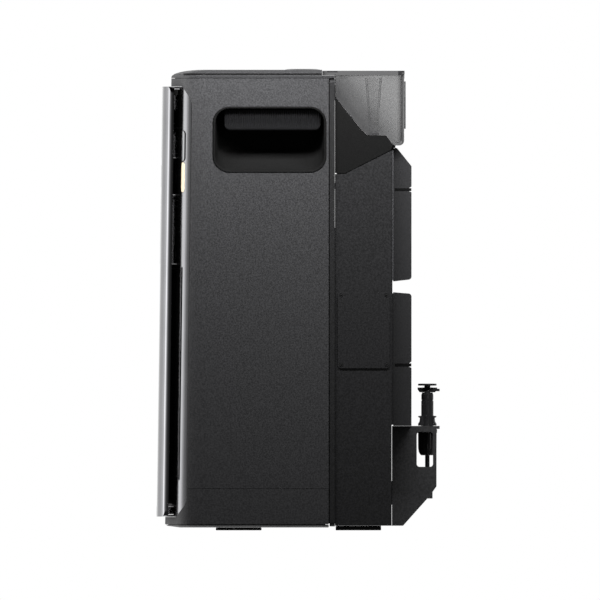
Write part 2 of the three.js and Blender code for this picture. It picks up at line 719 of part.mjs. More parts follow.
function rearChassis() {
  const outer = side(polygon(CHASSIS_OUTLINE), -CHASSIS_HALF, CHASSIS_HALF);
  const inner = box(
    -CHASSIS_HALF + SHEET,
    CHASSIS_HALF - SHEET,
    CHASSIS_FRONT - 5,
    CHASSIS_REAR - SHEET,
    FOOT_TOP + SHEET,
    400,
  );
  const access = side(roundedRect(PANEL.y0 + 6, PANEL.z0 + 6, PANEL.y1 - 6, PANEL.z1 - 6, 3), 100, 120);
  const padHalf = CHASSIS_HALF - 1;
  const pad = box(-padHalf, padHalf, CHASSIS_REAR - 1, CHASSIS_PAD, BRACKET.top + 1, 364);
  let shell = outer.subtract(inner).add(pad).subtract(access);
  for (let k = -3; k <= 3; k++) {
    const z = FAN.z + k * 9;
    const reach = Math.sqrt(33 ** 2 - (k * 9) ** 2);
    shell = shell.subtract(front(roundedRect(-reach, z - 2.6, reach, z + 2.6, 2.5), 210, 240, 1));
  }
  const socket = box(INLET_SOCKET.x0, INLET_SOCKET.x1, 200, 240, INLET_SOCKET.z0, INLET_SOCKET.z1);
  return shell.subtract(socket);
}

const INLET_SOCKET = { x0: -99, x1: -69, z0: 24, z1: 48 };

function powerInlet() {
  const { x0, x1, z0, z1 } = INLET_SOCKET;
  const flange = front(roundedRect(x0 - 3.5, z0 - 3, x1 + 3.5, z1 + 3, 3), CHASSIS_REAR + GAP, CHASSIS_REAR + 2.5, 3);
  const body = box(x0 + 0.5, x1 - 0.5, 204, CHASSIS_REAR + 1, z0 + 0.5, z1 - 0.5);
  const well = front(roundedRect(x0 + 3, z0 + 3, x1 - 3, z1 - 3, 4), 209, 240, 3);
  let inlet = flange.add(body).subtract(well);
  const middle = (x0 + x1) / 2;
  for (const [dx, dz] of [
    [-7, -1.5],
    [0, 2.5],
    [7, -1.5],
  ]) {
    inlet = inlet.add(box(middle + dx - 1, middle + dx + 1, 208, 222, 36 + dz - 2.4, 36 + dz + 2.4));
  }
  return inlet;
}

function servicePanel() {
  const outline = roundedRect(PANEL.y0, PANEL.z0, PANEL.y1, PANEL.z1, 3);
  let panel = side(outline, CHASSIS_HALF + GAP, CHASSIS_HALF + 1.3, 1);
  for (const [y, z] of screwPlaces()) {
    panel = panel.subtract(rodWide(1.9, y, z, 100, 130, 12));
  }
  return panel;
}

function screwPlaces() {
  const inset = 3.1;
  const places = [];
  for (const y of [PANEL.y0 + inset, PANEL.y1 - inset]) {
    for (const z of [PANEL.z0 + inset, PANEL.z1 - inset]) {
      places.push([y, z]);
    }
  }
  return places;
}

function tankDock() {
  const solid = side(polygon(DOCK), -CHASSIS_HALF + 0.5, CHASSIS_HALF - 0.5);
  const seat = rod(9.6, 0, TANK_VALVE_DEPTH, 371.5, 390, 28);
  const outlet = rod(3.5, 0, TANK_VALVE_DEPTH, 330, 400, 16);
  const lip = polygon([
    [173, 340.5],
    [182, 340.5],
    [223, 361.5],
    [223, 366],
    [182, 345],
    [173, 345],
  ]);
  const tongue = side(lip, -CHASSIS_HALF + 2.3, CHASSIS_HALF - 2.3);
  return solid.add(tongue).subtract(seat).subtract(outlet);
}

const TANK_VALVE_DEPTH = 208.6;
const TANK_HALF = 108;
const TANK_WALL = 2.4;
const TANK = [
  [172.1, 415.8],
  [196.9, 384.6],
  [202.5, 379.6],
  [220.8, 379.1],
  [227.4, 370.2],
  [229.6, 369.4],
];
const TANK_REAR = 238;
const TANK_TOP = LID_BOTTOM - 0.15;
const TANK_CORNER = 9;
const LID_PIN = { y: 236.6, z: 438.8 };
const LID_EAR_X = [-62, 62];

// The tank's side outline, moved inwards by t; its floor steps down over the dock.
function tankOutline(t, top) {
  const shape = new THREE.Shape();
  const k = t * 0.62;
  shape.moveTo(TANK[0][0] + t, top);
  shape.lineTo(TANK[0][0] + t, TANK[0][1] + k);
  shape.lineTo(TANK[1][0] + k, TANK[1][1] + t);
  shape.lineTo(TANK[2][0] + k, TANK[2][1] + t);
  shape.lineTo(TANK[3][0] + k, TANK[3][1] + t);
  shape.lineTo(TANK[4][0] + k, TANK[4][1] + t);
  shape.lineTo(TANK[5][0], TANK[5][1] + t);
  const r = 5 - t * 0.8;
  const rear = TANK_REAR - t;
  const low = TANK[5][1] + t;
  shape.lineTo(rear - r, low);
  shape.absarc(rear - r, low + r, r, -Math.PI / 2, 0, false);
  shape.lineTo(rear, top);
  return shape;
}

function waterTank() {
  const innerHalf = TANK_HALF - TANK_WALL;
  const innerCorner = TANK_CORNER - TANK_WALL;
  const outerPlan = roundedRect(-TANK_HALF, 140, TANK_HALF, TANK_REAR, TANK_CORNER);
  const innerPlan = roundedRect(-innerHalf, 140, innerHalf, TANK_REAR - TANK_WALL, innerCorner);
  const outer = side(tankOutline(0, TANK_TOP), -TANK_HALF, TANK_HALF);
  const inner = side(tankOutline(TANK_WALL, TANK_TOP + 10), -innerHalf, innerHalf);
  const corners = plan(outerPlan, 360, 440);
  const cavity = inner.intersect(plan(innerPlan, 360, TANK_TOP + 10));
  const rib = box(-40, 40, TANK_REAR - 1, TANK_REAR + 1.4, 385.5, 431);
  const outlet = rod(5, 0, TANK_VALVE_DEPTH, 370, 386, 20);
  let tank = outer.intersect(corners).add(rib).subtract(cavity).subtract(outlet);
  for (const x of LID_EAR_X) {
    const ear = box(x - 3, x + 3, LID_PIN.y - 2, LID_PIN.y + 1.6, TANK_TOP - 3, LID_PIN.z + 1.9);
    tank = tank.add(ear).subtract(rodWide(1.4, LID_PIN.y, LID_PIN.z, x - 5, x + 5, 12));
  }
  return tank;
}

function tankLid() {
  const outline = roundedRect(-TANK_HALF - 1, 159.45, TANK_HALF + 1, TANK_REAR + 0.4, 9);
  const plate = plan(outline, LID_BOTTOM, LID_TOP, 6);
  const grip = plan(roundedRect(-24, 164, 24, 174, 4.8), LID_TOP - 1.6, LID_TOP + 3);
  const heel = box(-TANK_HALF - 2, TANK_HALF + 2, LID_PIN.y, TANK_REAR + 5, LID_BOTTOM - 1, LID_PIN.z);
  const heelRound = rodWide(2.05, LID_PIN.y, LID_PIN.z, -TANK_HALF - 3, TANK_HALF + 3, 20);
  let lid = plate.subtract(grip).subtract(heel.subtract(heelRound));
  for (const x of LID_EAR_X) {
    const slot = box(x - 3.5, x + 3.5, LID_PIN.y - 4.4, TANK_REAR + 5, LID_BOTTOM - 1, LID_TOP + 1);
    lid = lid.subtract(slot).add(rodWide(1.1, LID_PIN.y, LID_PIN.z, x - 4, x + 4, 12));
  }
  return lid;
}

// The outlet valve in the tank's floor, with the tapered screen that stands over it.
function tankValve() {
  const floor = 381.9 + GAP;
  return turned(
    [
      [0, 373],
      [4.4, 373],
      [4.4, floor],
      [4.2, floor],
      [4.4, 386],
      [4.2, 386.2],
      [8, 434.5],
      [6.6, 434.5],
      [3, 388],
      [0, 388],
    ],
    0,
    TANK_VALVE_DEPTH,
  );
}

// A hollow cover that stands off the rear wall on two bosses.
function rearCover(outline, z0, z1, bossHeight) {
  const half = REAR_COVER_HALF;
  const inside = half - 4;
  const leaf = side(outline, -half, half);
  const hollow = box(-inside, inside, REAR_COVER_FRONT - 5, REAR_COVER_REAR - 4.6, z0, z1);
  const bosses = [-60, 60].map((x) => rodDeep(3.5, x, bossHeight, CHASSIS_PAD + 0.1, REAR_COVER_FRONT + 3, 12));
  return bosses.reduce((all, boss) => all.add(boss), leaf.subtract(hollow));
}

const LOUVRE_DEPTH = 2.2;

function upperRearCover() {
  const f = REAR_COVER_FRONT;
  const r = REAR_COVER_REAR;
  const shape = new THREE.Shape();
  shape.moveTo(f, 366);
  shape.lineTo(229.2, 367.4);
  shape.lineTo(231.2, 366.8);
  shape.lineTo(r, 349.6);
  shape.lineTo(r, 330);
  shape.lineTo(r - LOUVRE_DEPTH, 328.6);
  shape.lineTo(r - LOUVRE_DEPTH, 325.4);
  shape.lineTo(r, 324.6);
  shape.lineTo(r, 243.6);
  shape.absarc(r - 3, 243.6, 3, 0, -Math.PI / 2, true);
  shape.lineTo(f, 238.9);
  return shape;
}

function lowerRearCover() {
  const f = REAR_COVER_FRONT;
  const r = REAR_COVER_REAR;
  const shape = new THREE.Shape();
  shape.moveTo(f, 228.6);
  shape.lineTo(r - 3, 227.4);
  shape.absarc(r - 3, 224.4, 3, Math.PI / 2, 0, true);
  shape.lineTo(r, 162);
  shape.lineTo(r - LOUVRE_DEPTH, 160.4);
  shape.lineTo(r - LOUVRE_DEPTH, 157);
  shape.lineTo(r, 156);
  shape.lineTo(r, BRACKET.top + 0.1);
  shape.lineTo(f, BRACKET.top + 0.1);
  return shape;
}

// ---- inlet bracket and push-fit connector -------------------------------------------------------
const BRACKET = { half: 60, top: 100.2, sheet: 2, y0: 226.2 };
const FITTING_DEPTH = 260.2;

function bracketCheek() {
  const shape = polygon([
    [BRACKET.y0, FOOT_TOP],
    [236.9, FOOT_TOP],
    [260.2, 30.5],
    [265.2, 30.5],
    [265.2, 36.8],
    [269, 42.2],
    [269, BRACKET.top],
    [BRACKET.y0, BRACKET.top],
  ]);
  const window = roundedRect(250, 61, 265.6, 94.4, 2.8);
  shape.holes.push(window);
  return shape;
}

function inletBracket() {
  const { half, sheet, top, y0 } = BRACKET;
  const right = side(bracketCheek(), half - sheet, half);
  const left = side(bracketCheek(), -half, -half + sheet);
  const flange = plan(roundedRect(-half, y0, half, TOTAL_DEPTH, 1.5), top - 2.9, top, 2);
  const backing = box(-half, half, y0, y0 + sheet, FOOT_TOP, top);
  const bore = rod(6.4, 0, FITTING_DEPTH, 80, 120, 24);
  return right.add(left).add(flange).add(backing).subtract(bore);
}

// The connector's body: a round column with a flange cut to flats, and two cheeks that hold the clip.
function fittingBody() {
  const up = BRACKET.top + GAP;
  const flange = turned(
    [
      [0, up],
      [8.9, up],
      [8.9, up + 2.2],
      [7.6, up + 4],
      [7.2, up + 7.4],
      [8.8, up + 8.2],
      [8.8, up + 9.3],
      [5, up + 9.7],
      [0, up + 9.7],
    ],
    0,
    FITTING_DEPTH,
  );
  const flats = box(-4.6, 4.6, FITTING_DEPTH - 10, FITTING_DEPTH + 10, up - 1, up + 12);
  const column = turned(
    [
      [0, up - 26],
      [5.9, up - 26],
      [5.9, up + 24.1],
      [5.5, up + 24.5],
      [5.5, up + 30.2],
      [5.3, up + 30.6],
      [5.3, up + 37.2],
      [0, up + 37.2],
    ],
    0,
    FITTING_DEPTH,
    20,
  );
  const clipSlot = box(-CLIP_HALF - 0.15, CLIP_HALF + 0.15, FITTING_DEPTH - 8, FITTING_DEPTH + 8, up + 31.8, up + 37);
  const boreTop = rod(TUBE_RADIUS + 0.3, 0, FITTING_DEPTH, up + 16, up + 60, 16);
  const boreThrough = rod(1.8, 0, FITTING_DEPTH, 0, 200, 14);
  return flange.intersect(flats).add(column).subtract(clipSlot).subtract(boreTop).subtract(boreThrough);
}

const CLIP_HALF = 4.4; // half-width of the clip, which passes between the cheeks
const TUBE_RADIUS = 2.9;

function fittingCollet() {
  const up = BRACKET.top + GAP;
  const collet = turned(
    [
      [0, up + 18.5],
      [TUBE_RADIUS, up + 18.5],
      [TUBE_RADIUS, up + 38.3],
      [9, up + 38.4],
      [9, up + 39.9],
      [8.4, up + 40.4],
      [0, up + 40.4],
    ],
    0,
    FITTING_DEPTH,
  );
  return collet.subtract(rod(2.1, 0, FITTING_DEPTH, up + 20, up + 60, 14));
}

// The clip that keeps the collet up: a narrow fork with two pulling tips.
function fittingClip() {
  const up = BRACKET.top + GAP;
  const outline = polygon([
    [FITTING_DEPTH - 7.4, up + 32],
    [FITTING_DEPTH + 7.4, up + 32],
    [FITTING_DEPTH + 9.4, up + 34.8],
    [FITTING_DEPTH + 9.4, up + 36.6],
    [FITTING_DEPTH - 9.4, up + 36.6],
    [FITTING_DEPTH - 9.4, up + 34.8],
  ]);
  const fork = side(outline, -CLIP_HALF, CLIP_HALF);
  const hole = rod(TUBE_RADIUS + 0.2, 0, FITTING_DEPTH, up + 30, up + 40, 18);
  const reach = TUBE_RADIUS + 0.15;
  const mouth = box(-reach, reach, FITTING_DEPTH - 12, FITTING_DEPTH, up + 30, up + 40);
  const tips = [-3.2, 3.2].map((x) =>
    box(x - 1.2, x + 1.2, FITTING_DEPTH + 7, TOTAL_DEPTH, up + 33, up + 35.4),
  );
  return tips.reduce((all, tip) => all.add(tip), fork.subtract(hole).subtract(mouth));
}

// The bell-shaped nut under the bracket.
function fittingNut() {
  const top = BRACKET.top - 2.9 - GAP;
  const bell = turned(
    [
      [0, top - 25],
      [6.6, top - 25],
      [8.4, top - 21],
      [8.8, top - 3.8],
      [9.4, top - 3.6],
      [9.4, top],
      [0, top],
    ],
    0,
    FITTING_DEPTH,
    12,
  );
  return bell.subtract(rod(6.2, 0, FITTING_DEPTH, top - 23.4, top + 5, 24)).subtract(
    rod(2.6, 0, FITTING_DEPTH, top - 30, top + 5, 14),
  );
}

function inletHose() {
  const points = [
    [0, FITTING_DEPTH, 73],
    [0, FITTING_DEPTH, 60],
    [0, FITTING_DEPTH, 46],
    [0, 257.6, 34],
    [0, 250.4, 25],
    [0, 240, 20],
    [0, 229.2, 19],
  ];
  return hose(points, 2.25, 14);
}

// ---- inside -------------------------------------------------------------------------------------
const CYLINDER = { x: -72, y: 150, r: 30 };

function gasCylinder() {
  const points = [[0, 9]];
  points.push([26, 9], [30, 13], [30, 272]);
  for (let k = 1; k <= 5; k++) {
    const turn = (k / 5) * (Math.PI / 2);
    points.push([12 + 18 * Math.cos(turn), 272 + 22 * Math.sin(turn)]);
  }
  points.push([12, 300], [0, 300]);
  const bore = [
    [0, 12],
    [24, 12],
    [27.6, 15],
    [27.6, 271],
    [20, 286],
    [7, 292],
    [7, 303],
    [0, 303],
  ];
  const body = turned(points, CYLINDER.x, CYLINDER.y, 24);
  return body.subtract(turned(bore, CYLINDER.x, CYLINDER.y, 20));
}

function cylinderValve() {
  const points = [
    [0, 300.3],
    [14, 300.3],
    [14, 308],
    [10.5, 309],
    [10.5, 322],
    [0, 322],
  ];
  return turned(points, CYLINDER.x, CYLINDER.y, 20);
}

function regulator() {
  const cap = rod(16, CYLINDER.x, CYLINDER.y, 322.4, 338, 24);
  const arm = box(CYLINDER.x, -34, CYLINDER.y - 10, CYLINDER.y + 10, 323, 337);
  const spring = rod(9, -38, CYLINDER.y, 320, 341, 20);
  return cap.add(arm).add(spring);
}

const VESSEL = { x: 52, y: 172, r: 36 };

function pressureVessel() {
  const points = [
    [0, 92],
    [20, 93],
    [30, 98],
    [VESSEL.r, 108],
    [VESSEL.r, 238],
    [30, 248],
    [20, 253],
    [6, 254],
    [6, 262],
    [0, 262],
  ];
  const bore = [
    [0, 94.6],
    [19, 95],
    [28.6, 99.8],
    [VESSEL.r - 1.6, 109],
    [VESSEL.r - 1.6, 237],
    [28.6, 246.4],
    [19, 251],
    [4, 252.4],
    [4, 266],
    [0, 266],
  ];
  return turned(points, VESSEL.x, VESSEL.y, 24).subtract(turned(bore, VESSEL.x, VESSEL.y, 20));
}

function waterPump() {
  const motor = rodWide(21, 165, 44, -2, 52, 24);
  const head = box(52, 78, 144, 186, 22, 66);
  const base = box(0, 78, 146, 184, FOOT_TOP + SHEET + GAP, 24);
  return motor.add(head).add(base);
}

function solenoidValve() {
  const body = box(-12, 12, NOZZLE_DEPTH - 12, NOZZLE_DEPTH + 12, BAY_TOP + 12.4, BAY_TOP + 26);
  const coil = rod(11, 0, NOZZLE_DEPTH, BAY_TOP + 26, BAY_TOP + 50, 20);
  return body.add(coil);
}

function controlBoard() {
  let board = box(-70, 70, 48, 49.6, 300, 392);
  const chips = [
    [-40, 352, 26],
    [12, 350, 18],
    [44, 372, 14],
    [-52, 312, 16],
  ];
  for (const [x, z, size] of chips) {
    board = board.add(box(x, x + size, 49, 55, z, z + size * 0.7));
  }
  return board;
}

function powerSupply() {
  return box(-48, 48, 110, 160, 352, 392);
}

function fanFrame() {
  const { z, half, y0, y1 } = FAN;
  const frame = front(roundedRect(-half, z - half, half, z + half, 4), y0, y1, 3);
  const duct = rodDeep(half - 2.5, 0, z, y0 - 1, y1 + 1, 36);
  const spokes = box(-half + 1, half - 1, y0, y0 + 2, z - 1.8, z + 1.8).add(
    box(-1.8, 1.8, y0, y0 + 2, z - half + 1, z + half - 1),
  );
  const hub = rodDeep(9, 0, z, y0, y0 + 2, 20);
  const pin = rodDeep(1.5, 0, z, y0 + 1, y0 + 9, 12);
  return frame.subtract(duct).add(spokes).add(hub).add(pin);
}

function fanRotor() {
  const { z, half, y0, y1 } = FAN;
  const blades = 7;
  let rotor = rodDeep(12, 0, z, y0 + 2.8, y1 - 1, 24);
  for (let k = 0; k < blades; k++) {
    const geometry = new THREE.BoxGeometry(half - 12, 1.6, 11);
    geometry.translate((half - 12) / 2 + 8, 0, 0);
    geometry.rotateX(0.6);
    geometry.rotateY((k / blades) * 2 * Math.PI);
    rotor = rotor.add(toSolid(geometry.translate(0, (y0 + y1) / 2 + 0.6, z)));
  }
  return rotor.subtract(rodDeep(1.9, 0, z, y0, y0 + 10, 12));
}

const HOSES = {
  gas_hose: [
    [-38, 161.4, 331],
    [-34, 176, 330],
    [-4, 184, 314],
    [26, 181, 292],
    [48, 174, 275],
    [52, 172, 264],
  ],
  feed_hose: [
    [0, TANK_VALVE_DEPTH, 352],
    [-8, 201, 346],
    [-16, 192, 320],
    [-20, 190, 250],
    [-18, 190, 160],
    [0, 190, 100],
    [30, 196, 76],
    [66, 190, 66.6],
  ],
};

// ---- assembly -----------------------------------------------------------------------------------
const M = MATERIALS;

place("base_pan", basePan(), M.matteBlack);
for (const [name, measures] of Object.entries(FEET)) {
  place(name, foot(...measures), M.rubber);
}
place("body_shell", bodyShell(), M.shell);
place("lower_skirt", lowerSkirt(), M.shell);
place("top_cover", topCover(), M.shell);
place("rear_strip", rearStrip(), M.matteBlack);
place("rear_chassis", rearChassis(), M.chassis);
place("power_inlet", powerInlet(), M.matteBlack);
place("service_panel", servicePanel(), M.chassis);
screwPlaces().forEach(([y, z], i) => {
  const head = rodWide(1.7, y, z, CHASSIS_HALF + GAP, CHASSIS_HALF + 1.5, 16);
  place("panel_screw_" + (i + 1), head, M.steel);
});
place("tank_dock", tankDock(), M.matteBlack);
place("upper_rear_cover", rearCover(upperRearCover(), 246, 345, 358), M.chassis);
place("lower_rear_cover", rearCover(lowerRearCover(), 120, 221, 112), M.chassis);

place("inlet_bracket", inletBracket(), M.chassis);
place("inlet_fitting", fittingBody(), M.matteBlack);
place("inlet_collet", fittingCollet(), M.matteBlack);
place("inlet_clip", fittingClip(), M.matteBlack);
place("inlet_nut", fittingNut(), M.matteBlack);
place("inlet_hose", inletHose(), M.hose);

place("handle_pocket_right", handlePocket(), M.matteBlack);
place("handle_grip_right", handleGrip(), M.matteBlack);
place("handle_pocket_left", mirrored(handlePocket()), M.matteBlack);
place("handle_grip_left", mirrored(handleGrip()), M.matteBlack);

place("bezel_ring", bezelRing(), M.silver, leaningFront);
place("light_bar", bezelKey(LIGHT, 0.05, 3), M.warmLight, leaningFront);
place("power_key", bezelKey(PILL, 0.35, 3), M.silver, leaningFront);
place("bay_housing", bayHousing(), M.matteBlack);
place("nozzle", nozzle(), M.steel);
place("drip_tray", dripTray(), M.matteBlack);
place("drip_grille", dripGrille(), M.steel);
place("hinge_upper", hingeBracket(HINGE_HEIGHTS[1]), M.steel, leaningFront);
place("hinge_lower", hingeBracket(HINGE_HEIGHTS[0]), M.steel, leaningFront);
place("door_plate", doorPlate(), M.darkChrome, leaningFront);
place("door_panel", doorPanel(), M.glossBlack, leaningFront);
place("alcove_collar", alcoveCollar(), M.glossBlack, leaningFront);
place("control_glass", controlGlass(), M.glossBlack, leaningFront);
place("still_key", modeKey(KEY_X[0]), M.silver, leaningFront);
place("sparkling_key", modeKey(KEY_X[1]), M.silver, leaningFront);
place("carbonate_button", carbonateButton(), M.silver);

place("water_tank", waterTank(), M.smoke);
place("tank_lid", tankLid(), M.smoke);
place("tank_valve", tankValve(), M.greyPlastic);

place("gas_cylinder", gasCylinder(), M.aluminium);
place("cylinder_valve", cylinderValve(), M.brass);
place("regulator", regulator(), M.brass);
place("pressure_vessel", pressureVessel(), M.steel);
place("water_pump", waterPump(), M.greyPlastic);
place("solenoid_valve", solenoidValve(), M.greyPlastic);
place("control_board", controlBoard(), M.board);
place("power_supply", powerSupply(), M.aluminium);
place("fan_frame", fanFrame(), M.matteBlack);
place("fan_rotor", fanRotor(), M.greyPlastic);
for (const [name, points] of Object.entries(HOSES)) {
  place(name, hose(points, 3, 16), M.hose);
}

export default machine;
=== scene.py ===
"""A countertop soda carbonator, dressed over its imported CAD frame."""

import math

import bmesh
import bpy
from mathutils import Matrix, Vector


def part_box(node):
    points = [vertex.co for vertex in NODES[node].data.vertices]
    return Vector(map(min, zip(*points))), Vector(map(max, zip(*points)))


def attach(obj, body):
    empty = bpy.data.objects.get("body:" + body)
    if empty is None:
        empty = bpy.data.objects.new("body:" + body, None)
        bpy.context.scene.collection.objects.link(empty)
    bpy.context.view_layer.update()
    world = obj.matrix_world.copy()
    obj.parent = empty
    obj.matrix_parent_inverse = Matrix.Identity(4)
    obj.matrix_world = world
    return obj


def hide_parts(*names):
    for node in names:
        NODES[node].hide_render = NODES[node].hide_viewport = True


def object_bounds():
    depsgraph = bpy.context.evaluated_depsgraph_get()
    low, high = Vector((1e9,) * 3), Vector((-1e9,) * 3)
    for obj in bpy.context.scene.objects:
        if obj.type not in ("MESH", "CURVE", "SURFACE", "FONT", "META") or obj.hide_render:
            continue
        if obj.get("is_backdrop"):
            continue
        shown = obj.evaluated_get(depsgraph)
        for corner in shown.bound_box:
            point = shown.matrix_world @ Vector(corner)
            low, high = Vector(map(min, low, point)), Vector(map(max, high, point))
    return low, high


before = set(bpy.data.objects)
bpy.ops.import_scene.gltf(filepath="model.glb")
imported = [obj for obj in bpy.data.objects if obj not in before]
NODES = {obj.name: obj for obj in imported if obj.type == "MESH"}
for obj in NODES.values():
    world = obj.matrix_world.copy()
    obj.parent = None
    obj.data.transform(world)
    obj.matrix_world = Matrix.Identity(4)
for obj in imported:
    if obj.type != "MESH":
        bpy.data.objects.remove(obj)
CAD_LOW, CAD_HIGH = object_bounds()
MM = 0.001
PI = math.pi

# ---- measures shared with the frame, in millimetres -----------------------------------------------
# Depth is counted backwards from the machine's foremost point.
HALF = 115.0
FRONT_D = 15.4
FRONT_R = 430.0
CORNER_R = 25.0
LEAN = 0.014
LEAN_TOP = 502.0
LEAN_FULL_D = 37.0
LEAN_NONE_D = 62.0
BEZEL_LOW, BEZEL_HIGH = 12.8, 426.2
RECESS = (54.6, 343.2, 163.2, 406.6)
RECESS_R = 15.5
PLATE_HALF = 89.0
PLATE_LOW, PLATE_HIGH = 13.2, 426.0
POWER_KEY_Z = (354.4, 383.4)
LIGHT_BAR_Z = (324.6, 353.2)
DOOR_KEY_X, DOOR_KEY_Z = 24, 340
HINGE_X, HINGE_D = -98.2, 20.3


def mm_box(node):
    """Lowest and highest corner of a node as (x, depth, z), in millimetres."""
    low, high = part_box(node)
    return (
        [low.x / MM, (low.y - CAD_LOW.y) / MM, low.z / MM],
        [high.x / MM, (high.y - CAD_LOW.y) / MM, high.z / MM],
    )


# ---- mesh tools -----------------------------------------------------------------------------------
def make(name, verts, faces):
    """A mesh object from points (x, depth, z) in millimetres."""
    mesh = bpy.data.meshes.new(name)
    placed = [(x * MM, CAD_LOW.y + d * MM, z * MM) for x, d, z in verts]
    mesh.from_pydata(placed, [], faces)
    bm = bmesh.new()
    bm.from_mesh(mesh)
    bmesh.ops.remove_doubles(bm, verts=bm.verts, dist=1e-7)
    bmesh.ops.recalc_face_normals(bm, faces=bm.faces)
    bm.to_mesh(mesh)
    bm.free()
    obj = bpy.data.objects.new(name, mesh)
    bpy.context.scene.collection.objects.link(obj)
    return obj


def arc(cu, cv, r, a0, a1, n):
    """Points along an arc about (cu, cv), from one angle to the other."""
    return [
        (cu + r * math.cos(a0 + (a1 - a0) * k / n), cv + r * math.sin(a0 + (a1 - a0) * k / n))
        for k in range(n + 1)
    ]


def distinct(points):
    """An outline without points that repeat the one before."""
    kept = []
    for p in points:
        if not kept or math.dist(p, kept[-1]) > 1e-4:
            kept.append(p)
    if math.dist(kept[0], kept[-1]) < 1e-4:
        kept.pop()
    return kept


def rounded(u0, v0, u1, v1, r, n=8):
    """A rounded rectangle; r may be one radius or four, from the high corner round anticlockwise."""
    radii = [r] * 4 if isinstance(r, (int, float)) else r
    corners = ((u1, v1, -1, -1), (u0, v1, 1, -1), (u0, v0, 1, 1), (u1, v0, -1, 1))
    points = []
    for k, ((u, v, su, sv), rad) in enumerate(zip(corners, radii)):
        points += arc(u + su * rad, v + sv * rad, rad, k * PI / 2, (k + 1) * PI / 2, n)
    return distinct(points)


def turn(axis, u, v, w):
    """A section's (u, v) and its place w along the axis, as (x, depth, z)."""
    return {"z": (u, v, w), "x": (w, u, v), "y": (u, w, v)}[axis]


def extrude(name, outline, axis, a, b):
    """An outline drawn out along an axis, from a to b."""
    n = len(outline)
    verts = [turn(axis, u, v, a) for u, v in outline] + [turn(axis, u, v, b) for u, v in outline]
    faces = [list(range(n)), list(range(n, 2 * n))]
    faces += [(i, (i + 1) % n, n + (i + 1) % n, n + i) for i in range(n)]
    return make(name, verts, faces)


def block(name, x0, x1, d0, d1, z0, z1):
    return extrude(name, [(x0, d0), (x1, d0), (x1, d1), (x0, d1)], "z", z0, z1)


def loft(name, rings, caps=(True, True)):
    """Rings of equal length joined in order; each ring is a list of (x, depth, z)."""
    n = len(rings[0])
    verts = [p for ring in rings for p in ring]
    faces = []
    for k in range(len(rings) - 1):
        for i in range(n):
            j = (i + 1) % n
            faces.append((k * n + i, k * n + j, (k + 1) * n + j, (k + 1) * n + i))
    if caps[0]:
        faces.append(list(range(n)))
    if caps[1]:
        faces.append(list(range(len(verts) - n, len(verts))))
    return make(name, verts, faces)


def lathe(name, profile, u, v, axis="z", n=48, ripple=None):
    """A turned piece; its axis passes through (x, depth), or (x, z) for axis y, or (depth, z) for x."""
    rings = []
    for r, w in profile:
        ring = []
        for k in range(n):
            a = 2 * PI * k / n
            rad = max(r, 1e-3) * (1 if ripple is None else ripple(a, w))
            ring.append(turn(axis, u + rad * math.cos(a), v + rad * math.sin(a), w))
        rings.append(ring)
    return loft(name, rings)


def swept(name, path, radius, sides=16):
    """A round tube along a smooth path through the given points."""
    points = [Vector(p) for p in path]
    dense = []
    for k in range(len(points) - 1):
        p0 = points[max(k - 1, 0)]
        p1, p2 = points[k], points[k + 1]
        p3 = points[min(k + 2, len(points) - 1)]
        for step in range(8):
            t = step / 8
            bend = (2 * p0 - 5 * p1 + 4 * p2 - p3) * t * t
            twist = (3 * p1 - p0 - 3 * p2 + p3) * t ** 3
            dense.append(0.5 * (2 * p1 + (p2 - p0) * t + bend + twist))
    dense.append(points[-1])
    side = Vector((1, 0, 0))
    rings = []
    for k, p in enumerate(dense):
        along = (dense[min(k + 1, len(dense) - 1)] - dense[max(k - 1, 0)]).normalized()
        side = (side - along * side.dot(along)).normalized()
        up = along.cross(side)
        turns = [2 * PI * i / sides for i in range(sides)]
        rings.append([tuple(p + radius * (side * math.cos(a) + up * math.sin(a))) for a in turns])
    return loft(name, rings)


def boolean(obj, tool, operation="DIFFERENCE"):
    """Applies a boolean with a tool piece, which is then removed."""
    mod = obj.modifiers.new("cut", "BOOLEAN")
    mod.operation = operation
    mod.solver = "EXACT"
    mod.object = tool
    graph = bpy.context.evaluated_depsgraph_get()
    mesh = bpy.data.meshes.new_from_object(obj.evaluated_get(graph))
    obj.modifiers.clear()
    obj.data = mesh
    bpy.data.objects.remove(tool)
    return obj


def cut(obj, *tools):
    for tool in tools:
        boolean(obj, tool)
    return obj


def add(obj, *tools):
    for tool in tools:
        boolean(obj, tool, "UNION")
    return obj


def warp(obj, rule):
    """Moves each point by a rule on (x, depth, z) in millimetres."""
    for v in obj.data.vertices:
        x, d, z = rule(v.co.x / MM, (v.co.y - CAD_LOW.y) / MM, v.co.z / MM)
        v.co = (x * MM, CAD_LOW.y + d * MM, z * MM)
    return obj


def lean_all(obj):
    """The front's slight backward lean, over the whole piece."""
    return warp(obj, lambda x, d, z: (x, d + LEAN * (z - LEAN_TOP), z))


def lean_front(obj):
    """The same lean, fading out behind the front."""

    def rule(x, d, z):
        share = min(1, max(0, (LEAN_NONE_D - d) / (LEAN_NONE_D - LEAN_FULL_D)))
        return x, d + LEAN * (z - LEAN_TOP) * share, z

    return warp(obj, rule)


def soften(obj, width=0.5, segments=2, angle=32, weld=False):
    """Rounds the edges of a piece by a width in millimetres and evens out its shading."""
    for p in obj.data.polygons:
        p.use_smooth = True
    if weld:
        custom = obj.data.attributes.get("custom_normal")
        if custom:
            obj.data.attributes.remove(custom)
        obj.modifiers.new("weld", "WELD").merge_threshold = 1e-6
        planar = obj.modifiers.new("planar", "DECIMATE")
        planar.decimate_type = "DISSOLVE"
        planar.angle_limit = math.radians(0.6)
    if width:
        bevel = obj.modifiers.new("bevel", "BEVEL")
        bevel.width = width * MM
        bevel.segments = segments
        bevel.limit_method = "ANGLE"
        bevel.angle_limit = math.radians(angle)
    normal = obj.modifiers.new("normal", "WEIGHTED_NORMAL")
    normal.weight = 60
    return obj


def paint(obj, material):
    obj.data.materials.clear()
    obj.data.materials.append(material)
    return obj


